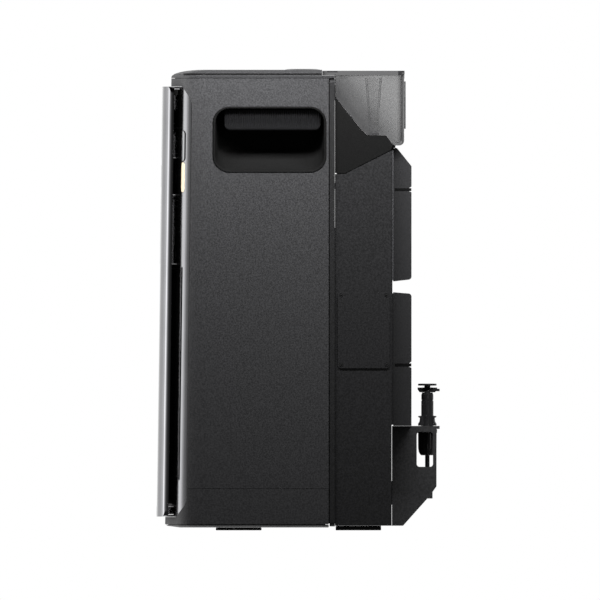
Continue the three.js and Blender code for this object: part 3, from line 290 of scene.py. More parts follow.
def piece(obj, body, material, slot, *nodes):
    """Gives a new piece its look and its body, and hides the nodes it stands for; the slot is not used."""
    paint(obj, material)
    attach(obj, body)
    if nodes:
        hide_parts(*nodes)
    return obj


# ---- materials ------------------------------------------------------------------------------------
def shader(name):
    """A new material, its node tree and its main shader."""
    material = bpy.data.materials.new(name)
    material.use_nodes = True
    tree = material.node_tree
    return material, tree, tree.nodes["Principled BSDF"]


def noise(tree, scale, detail=2.0, stretch=(1, 1, 1), rough=0.5):
    """Noise fixed to the piece, as a value around one half."""
    coords = tree.nodes.new("ShaderNodeTexCoord")
    mapping = tree.nodes.new("ShaderNodeMapping")
    mapping.inputs["Scale"].default_value = stretch
    texture = tree.nodes.new("ShaderNodeTexNoise")
    texture.inputs["Scale"].default_value = scale
    texture.inputs["Detail"].default_value = detail
    texture.inputs["Roughness"].default_value = rough
    tree.links.new(coords.outputs["Object"], mapping.inputs["Vector"])
    tree.links.new(mapping.outputs["Vector"], texture.inputs["Vector"])
    return texture.outputs["Fac"]


def spread(tree, value, low, high, start=0.3, stop=0.7):
    """A value between start and stop, stretched to run from low to high."""
    node = tree.nodes.new("ShaderNodeMapRange")
    node.inputs["From Min"].default_value = start
    node.inputs["From Max"].default_value = stop
    node.inputs["To Min"].default_value = low
    node.inputs["To Max"].default_value = high
    tree.links.new(value, node.inputs["Value"])
    return node.outputs["Result"]


def tint(tree, value, dark, light, start=0.35, stop=0.65):
    """A colour between dark and light by a value."""
    ramp = tree.nodes.new("ShaderNodeValToRGB")
    ramp.color_ramp.elements[0].position = start
    ramp.color_ramp.elements[1].position = stop
    ramp.color_ramp.elements[0].color = (*dark, 1)
    ramp.color_ramp.elements[1].color = (*light, 1)
    tree.links.new(value, ramp.inputs["Fac"])
    return ramp.outputs["Color"]


def relief(tree, value, strength, distance):
    """Relief of a surface by a value, with its height in millimetres."""
    bump = tree.nodes.new("ShaderNodeBump")
    bump.inputs["Strength"].default_value = strength
    bump.inputs["Distance"].default_value = distance * MM
    tree.links.new(value, bump.inputs["Height"])
    return bump.outputs["Normal"]


def grained(name, dark, light, rough, grain, strength, depth=0.08, specular=0.5):
    """A moulded or coated surface: fine grain in relief, specks of tone, and uneven gloss."""
    material, tree, bsdf = shader(name)
    fine = noise(tree, grain, 3.0, rough=0.6)
    tone = noise(tree, grain * 0.8, 2.0, rough=0.7)
    patches = noise(tree, 14.0, 3.0)
    tree.links.new(tint(tree, tone, dark, light), bsdf.inputs["Base Color"])
    tree.links.new(spread(tree, patches, rough[0], rough[1]), bsdf.inputs["Roughness"])
    tree.links.new(relief(tree, fine, strength, depth), bsdf.inputs["Normal"])
    bsdf.inputs["Specular IOR Level"].default_value = specular
    return material


def polished(name, dark, light, rough, metal, brush=None, coat=0.0):
    """Smooth plating, gloss plastic or brushed metal, with faint haze."""
    material, tree, bsdf = shader(name)
    haze = noise(tree, 22.0, 4.0)
    tree.links.new(tint(tree, haze, dark, light, 0.3, 0.7), bsdf.inputs["Base Color"])
    if brush:
        streak = noise(tree, 900.0, 2.0, stretch=brush)
        tree.links.new(spread(tree, streak, rough[0], rough[1]), bsdf.inputs["Roughness"])
        tree.links.new(relief(tree, streak, 0.12, 0.02), bsdf.inputs["Normal"])
    else:
        tree.links.new(spread(tree, haze, rough[0], rough[1]), bsdf.inputs["Roughness"])
    bsdf.inputs["Metallic"].default_value = metal
    bsdf.inputs["Coat Weight"].default_value = coat
    return material


def smoked(name, colour, alpha, edge_alpha, rough, start=0.0):
    """Smoke-tinted clear plastic, denser where its surface turns edge-on, from start of that turn."""
    material, tree, bsdf = shader(name)
    haze = noise(tree, 30.0, 3.0)
    dark = tuple(c * 0.9 for c in colour)
    tree.links.new(tint(tree, haze, dark, colour), bsdf.inputs["Base Color"])
    tree.links.new(spread(tree, haze, rough * 0.8, rough * 1.2), bsdf.inputs["Roughness"])
    layer = tree.nodes.new("ShaderNodeLayerWeight")
    layer.inputs["Blend"].default_value = 0.5 if start else 0.35
    density = spread(tree, layer.outputs["Facing"], alpha, edge_alpha, start, 1.0)
    tree.links.new(density, bsdf.inputs["Alpha"])
    return material


def maths(tree, operation, *values):
    """A Math node over sockets or numbers."""
    node = tree.nodes.new("ShaderNodeMath")
    node.operation = operation
    for k, value in enumerate(values):
        if isinstance(value, (int, float)):
            node.inputs[k].default_value = value
        else:
            tree.links.new(value, node.inputs[k])
    return node.outputs[0]


def levels(tree, share, low, high, points):
    """A ramp through points (place, level), with places between low and high, read by a 0 to 1 share."""
    node = tree.nodes.new("ShaderNodeValToRGB")
    elements = node.color_ramp.elements
    while len(elements) < len(points):
        elements.new(0.5)
    for element, (place, level) in zip(elements, points):
        element.position = (place - low) / (high - low)
        element.color = (level, level, level, 1)
    tree.links.new(share, node.inputs["Fac"])
    return node.outputs["Color"]


def stops(tree, value, low, high, points):
    """The same ramp, read by a value between low and high."""
    return levels(tree, spread(tree, value, 0.0, 1.0, low, high), low, high, points)


# Painted shade in the tank: its density along a slanted line that rises and runs backwards, densest low at
# the front by the dock: (place, density).
TANK_SLANT = 0.72
TANK_PAINTED_SHADE = [(465, 0.68), (472.6, 0.64), (479, 0.56), (484.1, 0.5), (492.7, 0.45), (498.5, 0.39),
             (505.2, 0.35), (513, 0.32), (525, 0.29)]
# The line of the tank's floor: (depth, height over TANK_BASE in hundreds of millimetres).
TANK_BASE = 350.0
TANK_FLOOR = [(155, 1.0), (174.4, 1.0), (174.6, 0.673), (198.4, 0.37), (204, 0.32), (222.3, 0.315),
              (228.9, 0.226), (240, 0.218)]
TANK_REAR_D, TANK_RIB_D, TANK_RIB_Z = 235.6, 238.05, 416.0


def tank_smoke_painted_shade():
    """The tank's smoke plastic, with painted shade that makes it densest low at the front by the dock; also
    densest in its floor, in its rear wall and in its rear rib.
    """
    material, tree, bsdf = shader("tank_smoke_painted_shade")
    haze = noise(tree, 30.0, 3.0)
    tree.links.new(tint(tree, haze, (0.035, 0.035, 0.036), (0.045, 0.045, 0.046)), bsdf.inputs["Base Color"])
    tree.links.new(spread(tree, haze, 0.11, 0.17), bsdf.inputs["Roughness"])
    coords = tree.nodes.new("ShaderNodeTexCoord")
    split = tree.nodes.new("ShaderNodeSeparateXYZ")
    tree.links.new(coords.outputs["Object"], split.inputs[0])
    d = maths(tree, "MULTIPLY_ADD", split.outputs["Y"], 1000.0, -CAD_LOW.y / MM)
    z = maths(tree, "MULTIPLY", split.outputs["Z"], 1000.0)
    slant = maths(tree, "MULTIPLY_ADD", z, TANK_SLANT, d)
    # Painted shade: the density grows towards the tank's low front, next to the dock.
    body = stops(tree, slant, 465.0, 525.0, TANK_PAINTED_SHADE)
    floor_line = maths(tree, "MULTIPLY", stops(tree, d, 155.0, 240.0, TANK_FLOOR), 100.0)
    above = maths(tree, "SUBTRACT", maths(tree, "SUBTRACT", z, TANK_BASE), floor_line)
    low_edge = maths(tree, "LESS_THAN", above, 0.0)
    rear_edge = maths(tree, "GREATER_THAN", d, TANK_REAR_D)
    rib = maths(tree, "GREATER_THAN", d, TANK_RIB_D)
    clear = maths(tree, "SUBTRACT", 1.0, body)
    single = maths(tree, "SUBTRACT", 1.0, maths(tree, "MULTIPLY", clear, clear))

    def choose(mask, yes, no):
        keep = maths(tree, "MULTIPLY", maths(tree, "SUBTRACT", 1.0, mask), no)
        return maths(tree, "MULTIPLY_ADD", mask, yes, keep)

    rib_tone = choose(maths(tree, "LESS_THAN", z, TANK_RIB_Z), 0.96, 0.7)
    alpha = choose(low_edge, single, body)
    alpha = choose(rear_edge, 0.8, alpha)
    alpha = choose(rib, rib_tone, alpha)
    layer = tree.nodes.new("ShaderNodeLayerWeight")
    layer.inputs["Blend"].default_value = 0.35
    rise = maths(tree, "MULTIPLY", layer.outputs["Facing"], maths(tree, "SUBTRACT", 0.92, alpha))
    tree.links.new(maths(tree, "ADD", alpha, maths(tree, "MAXIMUM", rise, 0.0)), bsdf.inputs["Alpha"])
    return material


def glowing(name, colour, strength):
    """A diffuser that is lit from behind."""
    material, tree, bsdf = shader(name)
    haze = noise(tree, 60.0, 2.0)
    tree.links.new(tint(tree, haze, tuple(c * 0.92 for c in colour), colour), bsdf.inputs["Base Color"])
    bsdf.inputs["Emission Color"].default_value = (*colour, 1)
    bsdf.inputs["Emission Strength"].default_value = strength
    bsdf.inputs["Roughness"].default_value = 0.35
    return material


SHELL = grained("shell_grain", (0.022, 0.022, 0.023), (0.048, 0.048, 0.05), (0.5, 0.62), 900, 0.5, 0.12)
COVER = grained("cover_grain", (0.018, 0.018, 0.019), (0.032, 0.032, 0.033), (0.42, 0.52), 1200, 0.3, 0.08)
BRACKET = grained("bracket_coat", (0.038, 0.038, 0.039), (0.062, 0.062, 0.064), (0.45, 0.6), 700, 0.6, 0.12)
CHASSIS = grained("powder_coat", (0.012, 0.012, 0.0125), (0.022, 0.022, 0.023), (0.5, 0.65), 650, 0.7, 0.15)
DOCK = grained("dock_black", (0.005, 0.005, 0.005), (0.009, 0.009, 0.009), (0.55, 0.65), 1500, 0.2, 0.05,
               specular=0.08)
MATT = grained("matt_black", (0.012, 0.012, 0.012), (0.022, 0.022, 0.023), (0.5, 0.62), 1100, 0.35, 0.08)
SATIN_BLACK = grained("satin_black", (0.005, 0.005, 0.005), (0.01, 0.01, 0.011), (0.3, 0.42), 1400, 0.15,
                      0.05, specular=0.25)
GREY = grained("grey_plastic", (0.07, 0.07, 0.075), (0.11, 0.11, 0.115), (0.4, 0.5), 1000, 0.2, 0.06)
RUBBER = grained("rubber", (0.008, 0.008, 0.008), (0.016, 0.016, 0.016), (0.75, 0.9), 500, 0.6, 0.12)
PLATE = polished("dark_chrome", (0.5, 0.5, 0.52), (0.56, 0.56, 0.58), (0.1, 0.14), 1.0)
SILVER = polished("satin_silver", (0.29, 0.29, 0.3), (0.33, 0.33, 0.34), (0.18, 0.24), 1.0)
GLOSS = polished("gloss_black", (0.002, 0.002, 0.002), (0.004, 0.004, 0.004), (0.06, 0.1), 0.0, coat=0.4)
GLASS_BLACK = polished("control_glass", (0.003, 0.003, 0.004), (0.006, 0.006, 0.007), (0.03, 0.06), 0.0,
                       coat=1.0)
STEEL = polished("steel", (0.5, 0.5, 0.5), (0.6, 0.6, 0.6), (0.2, 0.34), 1.0, brush=(1, 1, 0.05))
BRASS = polished("brass", (0.55, 0.4, 0.16), (0.65, 0.48, 0.2), (0.2, 0.3), 1.0)
ALUMINIUM = polished("aluminium", (0.6, 0.6, 0.61), (0.68, 0.68, 0.69), (0.28, 0.4), 1.0, brush=(1, 1, 0.04))
CONNECTOR = polished("connector_black", (0.016, 0.016, 0.017), (0.026, 0.026, 0.027), (0.2, 0.3), 0.0)
HOSE = polished("hose", (0.012, 0.012, 0.013), (0.02, 0.02, 0.021), (0.3, 0.42), 0.0)
BOARD = grained("board", (0.008, 0.06, 0.03), (0.012, 0.085, 0.04), (0.3, 0.4), 300, 0.1, 0.03)
TANK_SMOKE_PAINTED_SHADE = tank_smoke_painted_shade()
SMOKE_LID = smoked("smoke_lid", (0.02, 0.02, 0.021), 0.64, 0.9, 0.2)
SMOKE_THIN = smoked("smoke_thin", (0.01, 0.01, 0.011), 0.03, 1.0, 0.14, 0.5)
LIGHT = glowing("warm_light", (0.8, 0.66, 0.46), 0.3)

# ---- sections of the casing -----------------------------------------------------------------------
CORNER_X = HALF - CORNER_R
CORNER_D = FRONT_D + FRONT_R - math.sqrt((FRONT_R - CORNER_R) ** 2 - CORNER_X ** 2)
TANGENT = math.atan2(CORNER_D - FRONT_D - FRONT_R, CORNER_X)


def body_outline(inset, rear, n=18):
    """The casing's plan: a shallow arc between two round corners, closed across at a depth."""
    points = [(HALF - inset, rear)]
    points += arc(CORNER_X, CORNER_D, CORNER_R - inset, 0, TANGENT, n)
    points += arc(0, FRONT_D + FRONT_R, FRONT_R - inset, TANGENT, -PI - TANGENT, n + 6)
    points += arc(-CORNER_X, CORNER_D, CORNER_R - inset, -PI - TANGENT, -PI, n)
    points += [(-HALF + inset, rear)]
    return distinct(points)


def plate_section(inset, rear, n=14):
    """Plan section of the door plate: nearly flat middle, flanks that sweep back, rolled edges."""
    middle, flank, roll = 4000.0, 85.0, 5.4
    flat, half, face = 56.0, PLATE_HALF, 6.84
    t1 = math.asin(flat / middle)
    fx = (middle - flank) * math.sin(t1)
    fd = face + middle - (middle - flank) * math.cos(t1)
    rx = half - roll
    t2 = math.asin((rx - fx) / (flank - roll))
    rd = fd - (flank - roll) * math.cos(t2)
    low = -PI / 2
    points = [(half - inset, rear)]
    points += arc(rx, rd, roll - inset, 0, low + t2, n)
    points += arc(fx, fd, flank - inset, low + t2, low + t1, n)
    points += arc(0, face + middle, middle - inset, low + t1, low - t1, 6)
    points += arc(-fx, fd, flank - inset, low - t1, low - t2, n)
    points += arc(-rx, rd, roll - inset, low - t2, -PI, n)
    points += [(-half + inset, rear)]
    return distinct(points)


def front_opening():
    """The tool that opens the casing's front for the bezel."""
    return extrude("tool", rounded(-110, BEZEL_LOW, 110, BEZEL_HIGH, 19, 12), "y", -20, 46)


def handle_outline(grow):
    """A hand recess's mouth in side view, grown all round."""
    d0, z0, d1, z1 = RECESS
    return rounded(d0 - grow, z0 - grow, d1 + grow, z1 + grow, RECESS_R + grow, 12)


def wall(name, node):
    """The casing's 3 mm wall over one node's height, open to the rear and at the front."""
    low, high = mm_box(node)
    rear = high[1]
    obj = extrude(name, body_outline(0, rear), "z", low[2], high[2])
    cut(obj, extrude("tool", body_outline(3, rear + 10), "z", low[2] - 1, high[2] + 1), front_opening())
    return obj


shell = wall("shell_side_wall", "body_shell")
cut(shell, extrude("tool", handle_outline(0.2), "x", -HALF - 5, HALF + 5))
soften(lean_front(shell), 0.25, 2)
piece(shell, "casing", SHELL, "shell_plastic", "body_shell")

skirt = soften(lean_front(wall("shell_skirt", "lower_skirt")), 0.45, 3)
piece(skirt, "casing", SHELL, "shell_plastic", "lower_skirt")


def cover_ring(side_inset, front_inset, z, rear):
    """The casing's plan at a height of the dome, drawn in at the sides and at the front."""
    ring = []
    reach = CORNER_D - FRONT_D
    for x, d in body_outline(0, rear):
        if d < CORNER_D:
            d = CORNER_D + (d - CORNER_D) * (1 - front_inset / reach)
        ring.append((x * (HALF - side_inset) / HALF, d, z))
    return ring


def top_cover():
    """The domed cover, with its locating rib, its shadow groove and the button's well."""
    low, high = mm_box("top_cover")
    z0, z1 = low[2] + 3.2, high[2]
    rear = 159.2
    rings = [cover_ring(0.4, 0, z0, rear)]
    steps = 16
    for k in range(steps + 1):
        a = k / steps * PI / 2
        inset = 1 - math.cos(a)
        z = z0 + 0.8 + (z1 - z0 - 0.8) * math.sin(a)
        rings.append(cover_ring(0.4 + 9 * inset, 31 * inset, z, rear))
    obj = loft("cover_top", rings)
    rib = extrude("tool", body_outline(3.4, 162), "z", z0 - 3.2, z0 + 0.5)
    cut(rib, extrude("tool2", body_outline(5, 170), "z", z0 - 5, z0 + 2))
    add(obj, rib)
    add(obj, block("tool", -HALF + 1, HALF - 1, 150, high[1], z0, z0 + 2.45))
    # The shadow groove.
    ring = extrude("tool", body_outline(-3, 190), "z", z0 + 2.9, z0 + 4.5)
    cut(ring, extrude("tool2", body_outline(2.0, 200), "z", z0 - 1, z1 + 1))
    cut(obj, ring)
    button_low, button_high = mm_box("carbonate_button")
    d = (button_low[1] + button_high[1]) / 2
    radius = (button_high[0] - button_low[0]) / 2
    cut(obj, lathe("tool", [(radius + 0.6, z1 - 4.2), (radius + 0.6, z1 + 5)], 0, d, n=64))
    cut(obj, lathe("tool", [(4.6, z0 - 5), (4.6, z1 + 5)], 0, d))
    return obj


piece(soften(lean_front(top_cover()), 0.3, 2), "casing", COVER, "shell_plastic", "top_cover")


def shadow_band():
    """A dark strip of painted shadow that lies in the cover's groove and runs out towards the nose."""
    z0 = mm_box("top_cover")[0][2] + 3.2
    obj = extrude("cover_shadow_band", body_outline(0.75, 158.6), "z", z0 + 2.9, z0 + 4.5)
    cut(obj, extrude("tool", body_outline(3.2, 170), "z", z0, z0 + 8))
    return cut(obj, block("tool", -130, 130, -20, 27, z0, z0 + 8))


piece(soften(lean_front(shadow_band()), 0.1, 1), "casing", DOCK, "matte_black")


# ---- hand recesses --------------------------------------------------------------------------------
def pocket(name, side):
    """A bowl-shaped recess: its floor and ends curve into the back wall."""
    depth = 31.0
    steps = 18
    lip = 2
    mouth = HALF - 0.25
    d0, z0, d1, z1 = RECESS

    def ring(t, grow):
        k = t / depth
        scoop = 1 - math.sqrt(max(0.0, 1 - k ** 2))
        low = z0 + lip + 27 * scoop - grow
        ends = 12 * scoop
        upper_r = RECESS_R - lip + grow
        lower_r = RECESS_R - lip + 3 * scoop + grow
        outline = rounded(d0 + lip + ends - grow, low, d1 - lip - ends + grow, z1 - lip + grow,
                          [upper_r, upper_r, lower_r, lower_r], 12)
        return [(side * (mouth - t), d, z) for d, z in outline]

    ts = [depth * math.sin(PI / 2 * k / steps) for k in range(steps + 1)]
    inner = [ring(t, 0) for t in ts]
    rim = [(side * mouth, d, z) for d, z in handle_outline(0)]
    outer = [ring(t, 2.0) for t in ts]
    outer = [[(x - side * 1.8, d, z) for x, d, z in r] for r in reversed(outer)]
    return loft(name, outer + [rim] + inner)


def grip(name, side):
    """A bar of fine upright ribs that run out above its smooth lower edge."""
    (x0, d0, z0), (x1, d1, z1) = mm_box("handle_grip_right")
    pitch = 2.1
    columns = int((d1 - d0) / pitch * 8)
    rows = 18
    radius = 5.5
    rings = []
    for i in range(columns + 1):
        d = d0 + (d1 - d0) * i / columns
        near = min(d - d0, d1 - d)
        lift = radius - math.sqrt(max(0.0, radius ** 2 - max(0.0, radius - near) ** 2))
        ring = [(side * x0, d, z1), (side * x0, d, z0 + lift)]
        for j in range(rows + 1):
            t = j / rows
            z = z0 + lift + (z1 - z0 - lift) * t
            depth = min(1.0, max(0.0, (z - 386.5) / 4.5))
            groove = 0.5 * (1 - math.cos(2 * PI * (d - d0) / pitch))
            edge = 1.4 * max(0.0, 1 - (z - z0 - lift) / 1.6) ** 2
            ring.append((side * (x1 - 0.85 * depth * groove - edge), d, z))
        rings.append(ring)
    return loft(name, rings)


def pocket_flange(name, side):
    """The rim that sits behind the shell's wall round the mouth of a recess."""
    obj = extrude(name, handle_outline(2.6), "x", side * 110.2, side * 111.7)
    return cut(obj, extrude("tool", handle_outline(-0.6), "x", side * 100, side * 120))


for suffix, side in (("right", 1), ("left", -1)):
    piece(soften(pocket_flange("recess_flange_" + suffix, side), 0), "casing", MATT, "matte_black")
    bowl = pocket("recess_bowl_" + suffix, side)
    piece(soften(bowl, 0), "casing", DOCK, "matte_black", "handle_pocket_" + suffix)
    bar = grip("recess_grip_" + suffix, side)
    piece(soften(bar, 0), "casing", SATIN_BLACK, "matte_black", "handle_grip_" + suffix)


# ---- bezel, door and controls ---------------------------------------------------------------------
def slab(name, near, far, z0, z1):
    """A curved layer between two insets of the casing's front."""
    obj = extrude(name, body_outline(near, 70), "z", z0, z1)
    return cut(obj, extrude("tool", body_outline(far, 80), "z", z0 - 1, z1 + 1))


def window(x0, x1, z0, z1, r, d0=-20, d1=80):
    """A rounded tool through the front."""
    return extrude("tool", rounded(x0, z0, x1, z1, r, 12), "y", d0, d1)


def bezel():
    """The silver ring round the door, with the two key openings and the finger slot."""
    obj = slab("bezel_band", 0, 4, BEZEL_LOW, BEZEL_HIGH)
    boolean(obj, window(-109.1, 109.1, 13.0, 426.0, 18, 0, 37.3), "INTERSECT")
    cut(obj, window(-95.1, 95.1, 15.1, 423.9, 15))
    for (z0, z1), outer in ((POWER_KEY_Z, 104.5), (LIGHT_BAR_Z, 103.4)):
        cut(obj, window(96.0, outer, z0 - 0.4, z1 + 0.4, 3.69))
    groove = window(99.7, 102.5, 48, 253, 1.39)
    cut(groove, extrude("tool2", body_outline(2.2, 80), "z", -1, 430))
    cut(obj, groove)
    return warp(obj, lambda x, d, z: (x, d + 0.09 * max(0.0, abs(x) - 104.5) ** 2, z))


piece(soften(lean_all(bezel()), 0.3, 2), "casing", SILVER, "silver", "bezel_ring")


def bezel_key(name, z0, z1, proud):
    """A pill in the bezel that stands out of it by a little."""
    obj = slab(name, -proud, 3, z0 - 5, z1 + 5)
    return boolean(obj, window(96.4, 103, z0, z1, 3.29, -20, 80), "INTERSECT")


power_key = soften(lean_all(bezel_key("power_pill", *POWER_KEY_Z, 0.35)), 0.5, 3)
piece(power_key, "power_key_body", SILVER, "silver", "power_key")
light = soften(lean_all(bezel_key("light_guide", *LIGHT_BAR_Z, 0.05)), 0.3, 2)
piece(light, "casing", LIGHT, "warm_light", "light_bar")


def panel_depth(x):
    """Depth of the black panel's face at a place across the front."""
    return FRONT_D + FRONT_R - math.sqrt(FRONT_R ** 2 - x ** 2)


def plate_front(z0, z1, wide=4.5, tall=12.0, n=12):
    """Front outline of the plate, with corners taller than they are wide."""
    points = []
    corners = ((1, z1 - tall), (-1, z1 - tall), (-1, z0 + tall), (1, z0 + tall))
    for k, (side, z) in enumerate(corners):
        for j in range(n + 1):
            a = (k + j / n) * PI / 2
            points.append((side * (PLATE_HALF - wide) + wide * math.cos(a), z + tall * math.sin(a)))
    return distinct(points)


def door_plate():
    """The dark-chrome plate, with its openings for the alcove and for the control glass."""
    obj = extrude("door_mirror_plate", plate_section(0, 18.4), "z", PLATE_LOW, PLATE_HIGH)
    cut(obj, extrude("tool", plate_section(2.4, 30), "z", PLATE_LOW - 1, PLATE_HIGH + 1))
    boolean(obj, extrude("tool", plate_front(PLATE_LOW, PLATE_HIGH), "y", -5, 30), "INTERSECT")
    cut(obj, window(-53, 53, 22.8, 256, 8, -5, 30), window(-47, 47, 322, 358, 17.99, -5, 30))
    return obj


def plate_stud(name, x, z):
    """A spacer between the plate and the black panel."""
    near, far = 9.3, panel_depth(x) - 0.3
    return lathe(name, [(0, near), (1.1, near), (1.1, far), (0, far)], x, z, "y", 20)


def door_panel():
    """The curved black panel behind the plate."""
    low, high = mm_box("door_panel")
    obj = slab("door_black_panel", 0, 7.5, low[2] - 1, high[2] + 1)
    boolean(obj, window(-93.9, 93.9, low[2], high[2], 14.5, 0, 36), "INTERSECT")
    return cut(obj, window(-52.7, 52.7, 23.1, 255.7, 7.7, -5, 60))


def collar():
    """The frame round the alcove's mouth."""
    obj = extrude("alcove_frame", rounded(-52.6, 23.2, 52.6, 255.6, 7.6, 12), "y", 7.64, 21)
    return cut(obj, window(-51, 51, 24.8, 254, 6, -5, 60))


def knuckle(name, z):
    """The door's barrel round a hinge pin, with its leaf."""
    inner, top = -90.5, z + 12
    obj = lathe(name, [(3.4, z), (3.4, top)], HINGE_X, HINGE_D, n=32)
    add(obj, block("tool", HINGE_X, inner, 18.7, 21.9, z, top))
    add(obj, block("tool", -93.4, inner, 18.7, 27.5, z, top))
    return cut(obj, lathe("tool", [(1.75, z - 1), (1.75, top + 1)], HINGE_X, HINGE_D, n=24))


plate = soften(lean_all(door_plate()), 0.9, 4)
piece(plate, "door", PLATE, "dark_chrome", "door_plate")
stud_places = [(x, z) for x in (-57, 57) for z in (250.8, 318.6, 386)]
for k, (x, z) in enumerate(stud_places):
    stud = soften(lean_all(plate_stud("plate_stud_%d" % k, x, z)), 0.2)
    piece(stud, "door", SATIN_BLACK, "matte_black")
panel = soften(lean_all(door_panel()), 0.6, 3)
piece(panel, "door", GLOSS, "gloss_black", "door_panel")
piece(soften(lean_all(collar()), 0.3, 2), "door", GLOSS, "gloss_black", "alcove_collar")
for label, z in (("lower", 52), ("upper", 392)):
    piece(soften(lean_all(knuckle("door_knuckle_" + label, z)), 0.3), "door", GLOSS, "gloss_black")


def control_glass():
    """The glass over the controls, with its two key holes."""
    obj = extrude("control_lens", plate_section(0.35, 30), "z", 317, 363)
    boolean(obj, window(-46.6, 46.6, 322.4, 357.6, 17.59, 0, 14.6), "INTERSECT")
    for x in (-DOOR_KEY_X, DOOR_KEY_X):
        cut(obj, lathe("tool", [(11.4, -5), (11.4, 11.4)], x, DOOR_KEY_Z, "y", 48))
    return obj


def touch_key(name, x):
    """A shallow dished disc."""
    top = 6.94
    profile = [(0, 9.9), (10.8, 9.9), (11, 9.7), (11, top + 0.5), (10.7, top + 0.1), (10.2, top),
               (9.2, top), (7, top + 0.35), (4, top + 0.6), (0, top + 0.7)]
    return lathe(name, profile, x, DOOR_KEY_Z, "y", 56)


piece(soften(lean_all(control_glass()), 0.4, 3), "door", GLASS_BLACK, "gloss_black", "control_glass")
for label, x in (("still", -DOOR_KEY_X), ("sparkling", DOOR_KEY_X)):
    key = soften(lean_all(touch_key(label + "_disc", x)), 0)
    piece(key, label + "_key_body", SILVER, "silver", label + "_key")


def carbonate_button():
    """The round button in the cover: a stem and a rimmed disc."""
    low, high = mm_box("carbonate_button")
    d = (low[1] + high[1]) / 2
    top = high[2]
    profile = [(0, low[2]), (4.2, low[2]), (4.2, top - 2.1), (16.8, top - 2.1), (17, top - 1.9),
               (17, top - 1), (16.7, top - 0.7), (13.4, top - 0.05), (13, top), (12.4, top),
               (11.8, top - 0.35), (6, top - 0.5), (0, top - 0.5)]
    return lathe("carbonate_disc", profile, 0, d, n=72)


piece(soften(carbonate_button(), 0), "carbonate_button_body", SILVER, "silver", "carbonate_button")


# ---- rear details ---------------------------------------------------------------------------------
def screw(name, node):
    """A pan-head screw with a cross recess."""
    low, high = mm_box(node)
    d, z = (low[1] + high[1]) / 2, (low[2] + high[2]) / 2
    r = (high[1] - low[1]) / 2
    x0, x1 = low[0], high[0]
    profile = [(0, x0), (r * 0.96, x0), (r, x0 + 0.2), (r, x1 - 0.5), (r * 0.8, x1 - 0.1), (0, x1)]
    obj = lathe(name, profile, d, z, "x", 32)
    for du, dz in ((r * 0.55, 0.22), (0.22, r * 0.55)):
        cut(obj, block("tool", x1 - 0.7, x1 + 1, d - du, d + du, z - dz, z + dz))
    return obj


for k in range(1, 5):
    node = "panel_screw_%d" % k
    piece(soften(screw("cross_screw_%d" % k, node), 0), "casing", MATT, "steel", node)


# ---- water connector ------------------------------------------------------------------------------
FIT_D = 260.2
FIT_Z = mm_box("inlet_bracket")[1][2] + 0.3
CLIP_HALF = 4.4
TUBE_R = 2.9


def connector_body():
    """A round column with a flange cut to flats, an O-ring band and two cheeks for the clip."""
    up = FIT_Z
    flange = lathe("connector_body", [
        (0, up), (8.7, up), (8.9, up + 0.2), (8.9, up + 2), (8.6, up + 2.3), (7.6, up + 4), (7.2, up + 7.4),
        (8.5, up + 8), (8.8, up + 8.4), (8.8, up + 9.1), (8.6, up + 9.3), (5, up + 9.7), (0, up + 9.7)],
        0, FIT_D, n=48)
    boolean(flange, block("tool", -4.6, 4.6, FIT_D - 10, FIT_D + 10, up - 1, up + 12), "INTERSECT")
    column = lathe("tool", [
        (0, up - 26), (5.9, up - 26), (5.9, up + 23.6), (5.5, up + 24.1), (5.35, up + 24.3),
        (5.35, up + 24.7), (5.75, up + 24.9), (5.8, up + 25.4), (5.8, up + 29.8), (5.7, up + 30.2),
        (5.3, up + 30.5), (5.3, up + 36.8), (5, up + 37.2), (0, up + 37.2)], 0, FIT_D, n=48)
    add(flange, column)
    add(flange, lathe("tool", [(0, -6.4), (1.6, -6.2), (2.4, -5.4), (2.4, 5.4), (1.6, 6.2), (0, 6.4)],
                      FIT_D, up + 9, "x", 24))
    cut(flange, block("tool", -CLIP_HALF - 0.15, CLIP_HALF + 0.15, FIT_D - 8, FIT_D + 8, up + 31.8, up + 37))
    cut(flange, lathe("tool", [(TUBE_R + 0.3, up + 16), (TUBE_R + 0.3, up + 60)], 0, FIT_D))
    return cut(flange, lathe("tool", [(1.8, up - 40), (1.8, up + 60)], 0, FIT_D, n=24))


def connector_collet():
    """The release collet on the tube's end."""
    up = FIT_Z
    profile = [(0, up + 18.5), (TUBE_R, up + 18.5), (TUBE_R, up + 38.3), (8.6, up + 38.4), (9, up + 38.7),
               (9, up + 39.7), (8.5, up + 40.3), (5, up + 40.4), (4, up + 39.7), (0, up + 39.7)]
    obj = lathe("connector_collet", profile, 0, FIT_D, n=40)
    return cut(obj, lathe("tool", [(2.1, up + 10), (2.1, up + 60)], 0, FIT_D, n=24))


def connector_clip():
    """A narrow fork whose sides taper downwards, with two tips to pull it by."""
    up = FIT_Z
    half = [(7.4, up + 32), (9.4, up + 34.8), (9.4, up + 36.6)]
    outline = [(FIT_D + u, z) for u, z in half] + [(FIT_D - u, z) for u, z in reversed(half)]
    obj = extrude("connector_clip", outline, "x", -CLIP_HALF, CLIP_HALF)
    for x in (-3.2, 3.2):
        add(obj, block("tool", x - 1.2, x + 1.2, FIT_D + 7, mm_box("inlet_clip")[1][1], up + 33, up + 35.4))
    cut(obj, lathe("tool", [(TUBE_R + 0.2, up + 30), (TUBE_R + 0.2, up + 40)], 0, FIT_D))
    reach = TUBE_R + 0.15
    return cut(obj, block("tool", -reach, reach, FIT_D - 14, FIT_D, up + 30, up + 40))


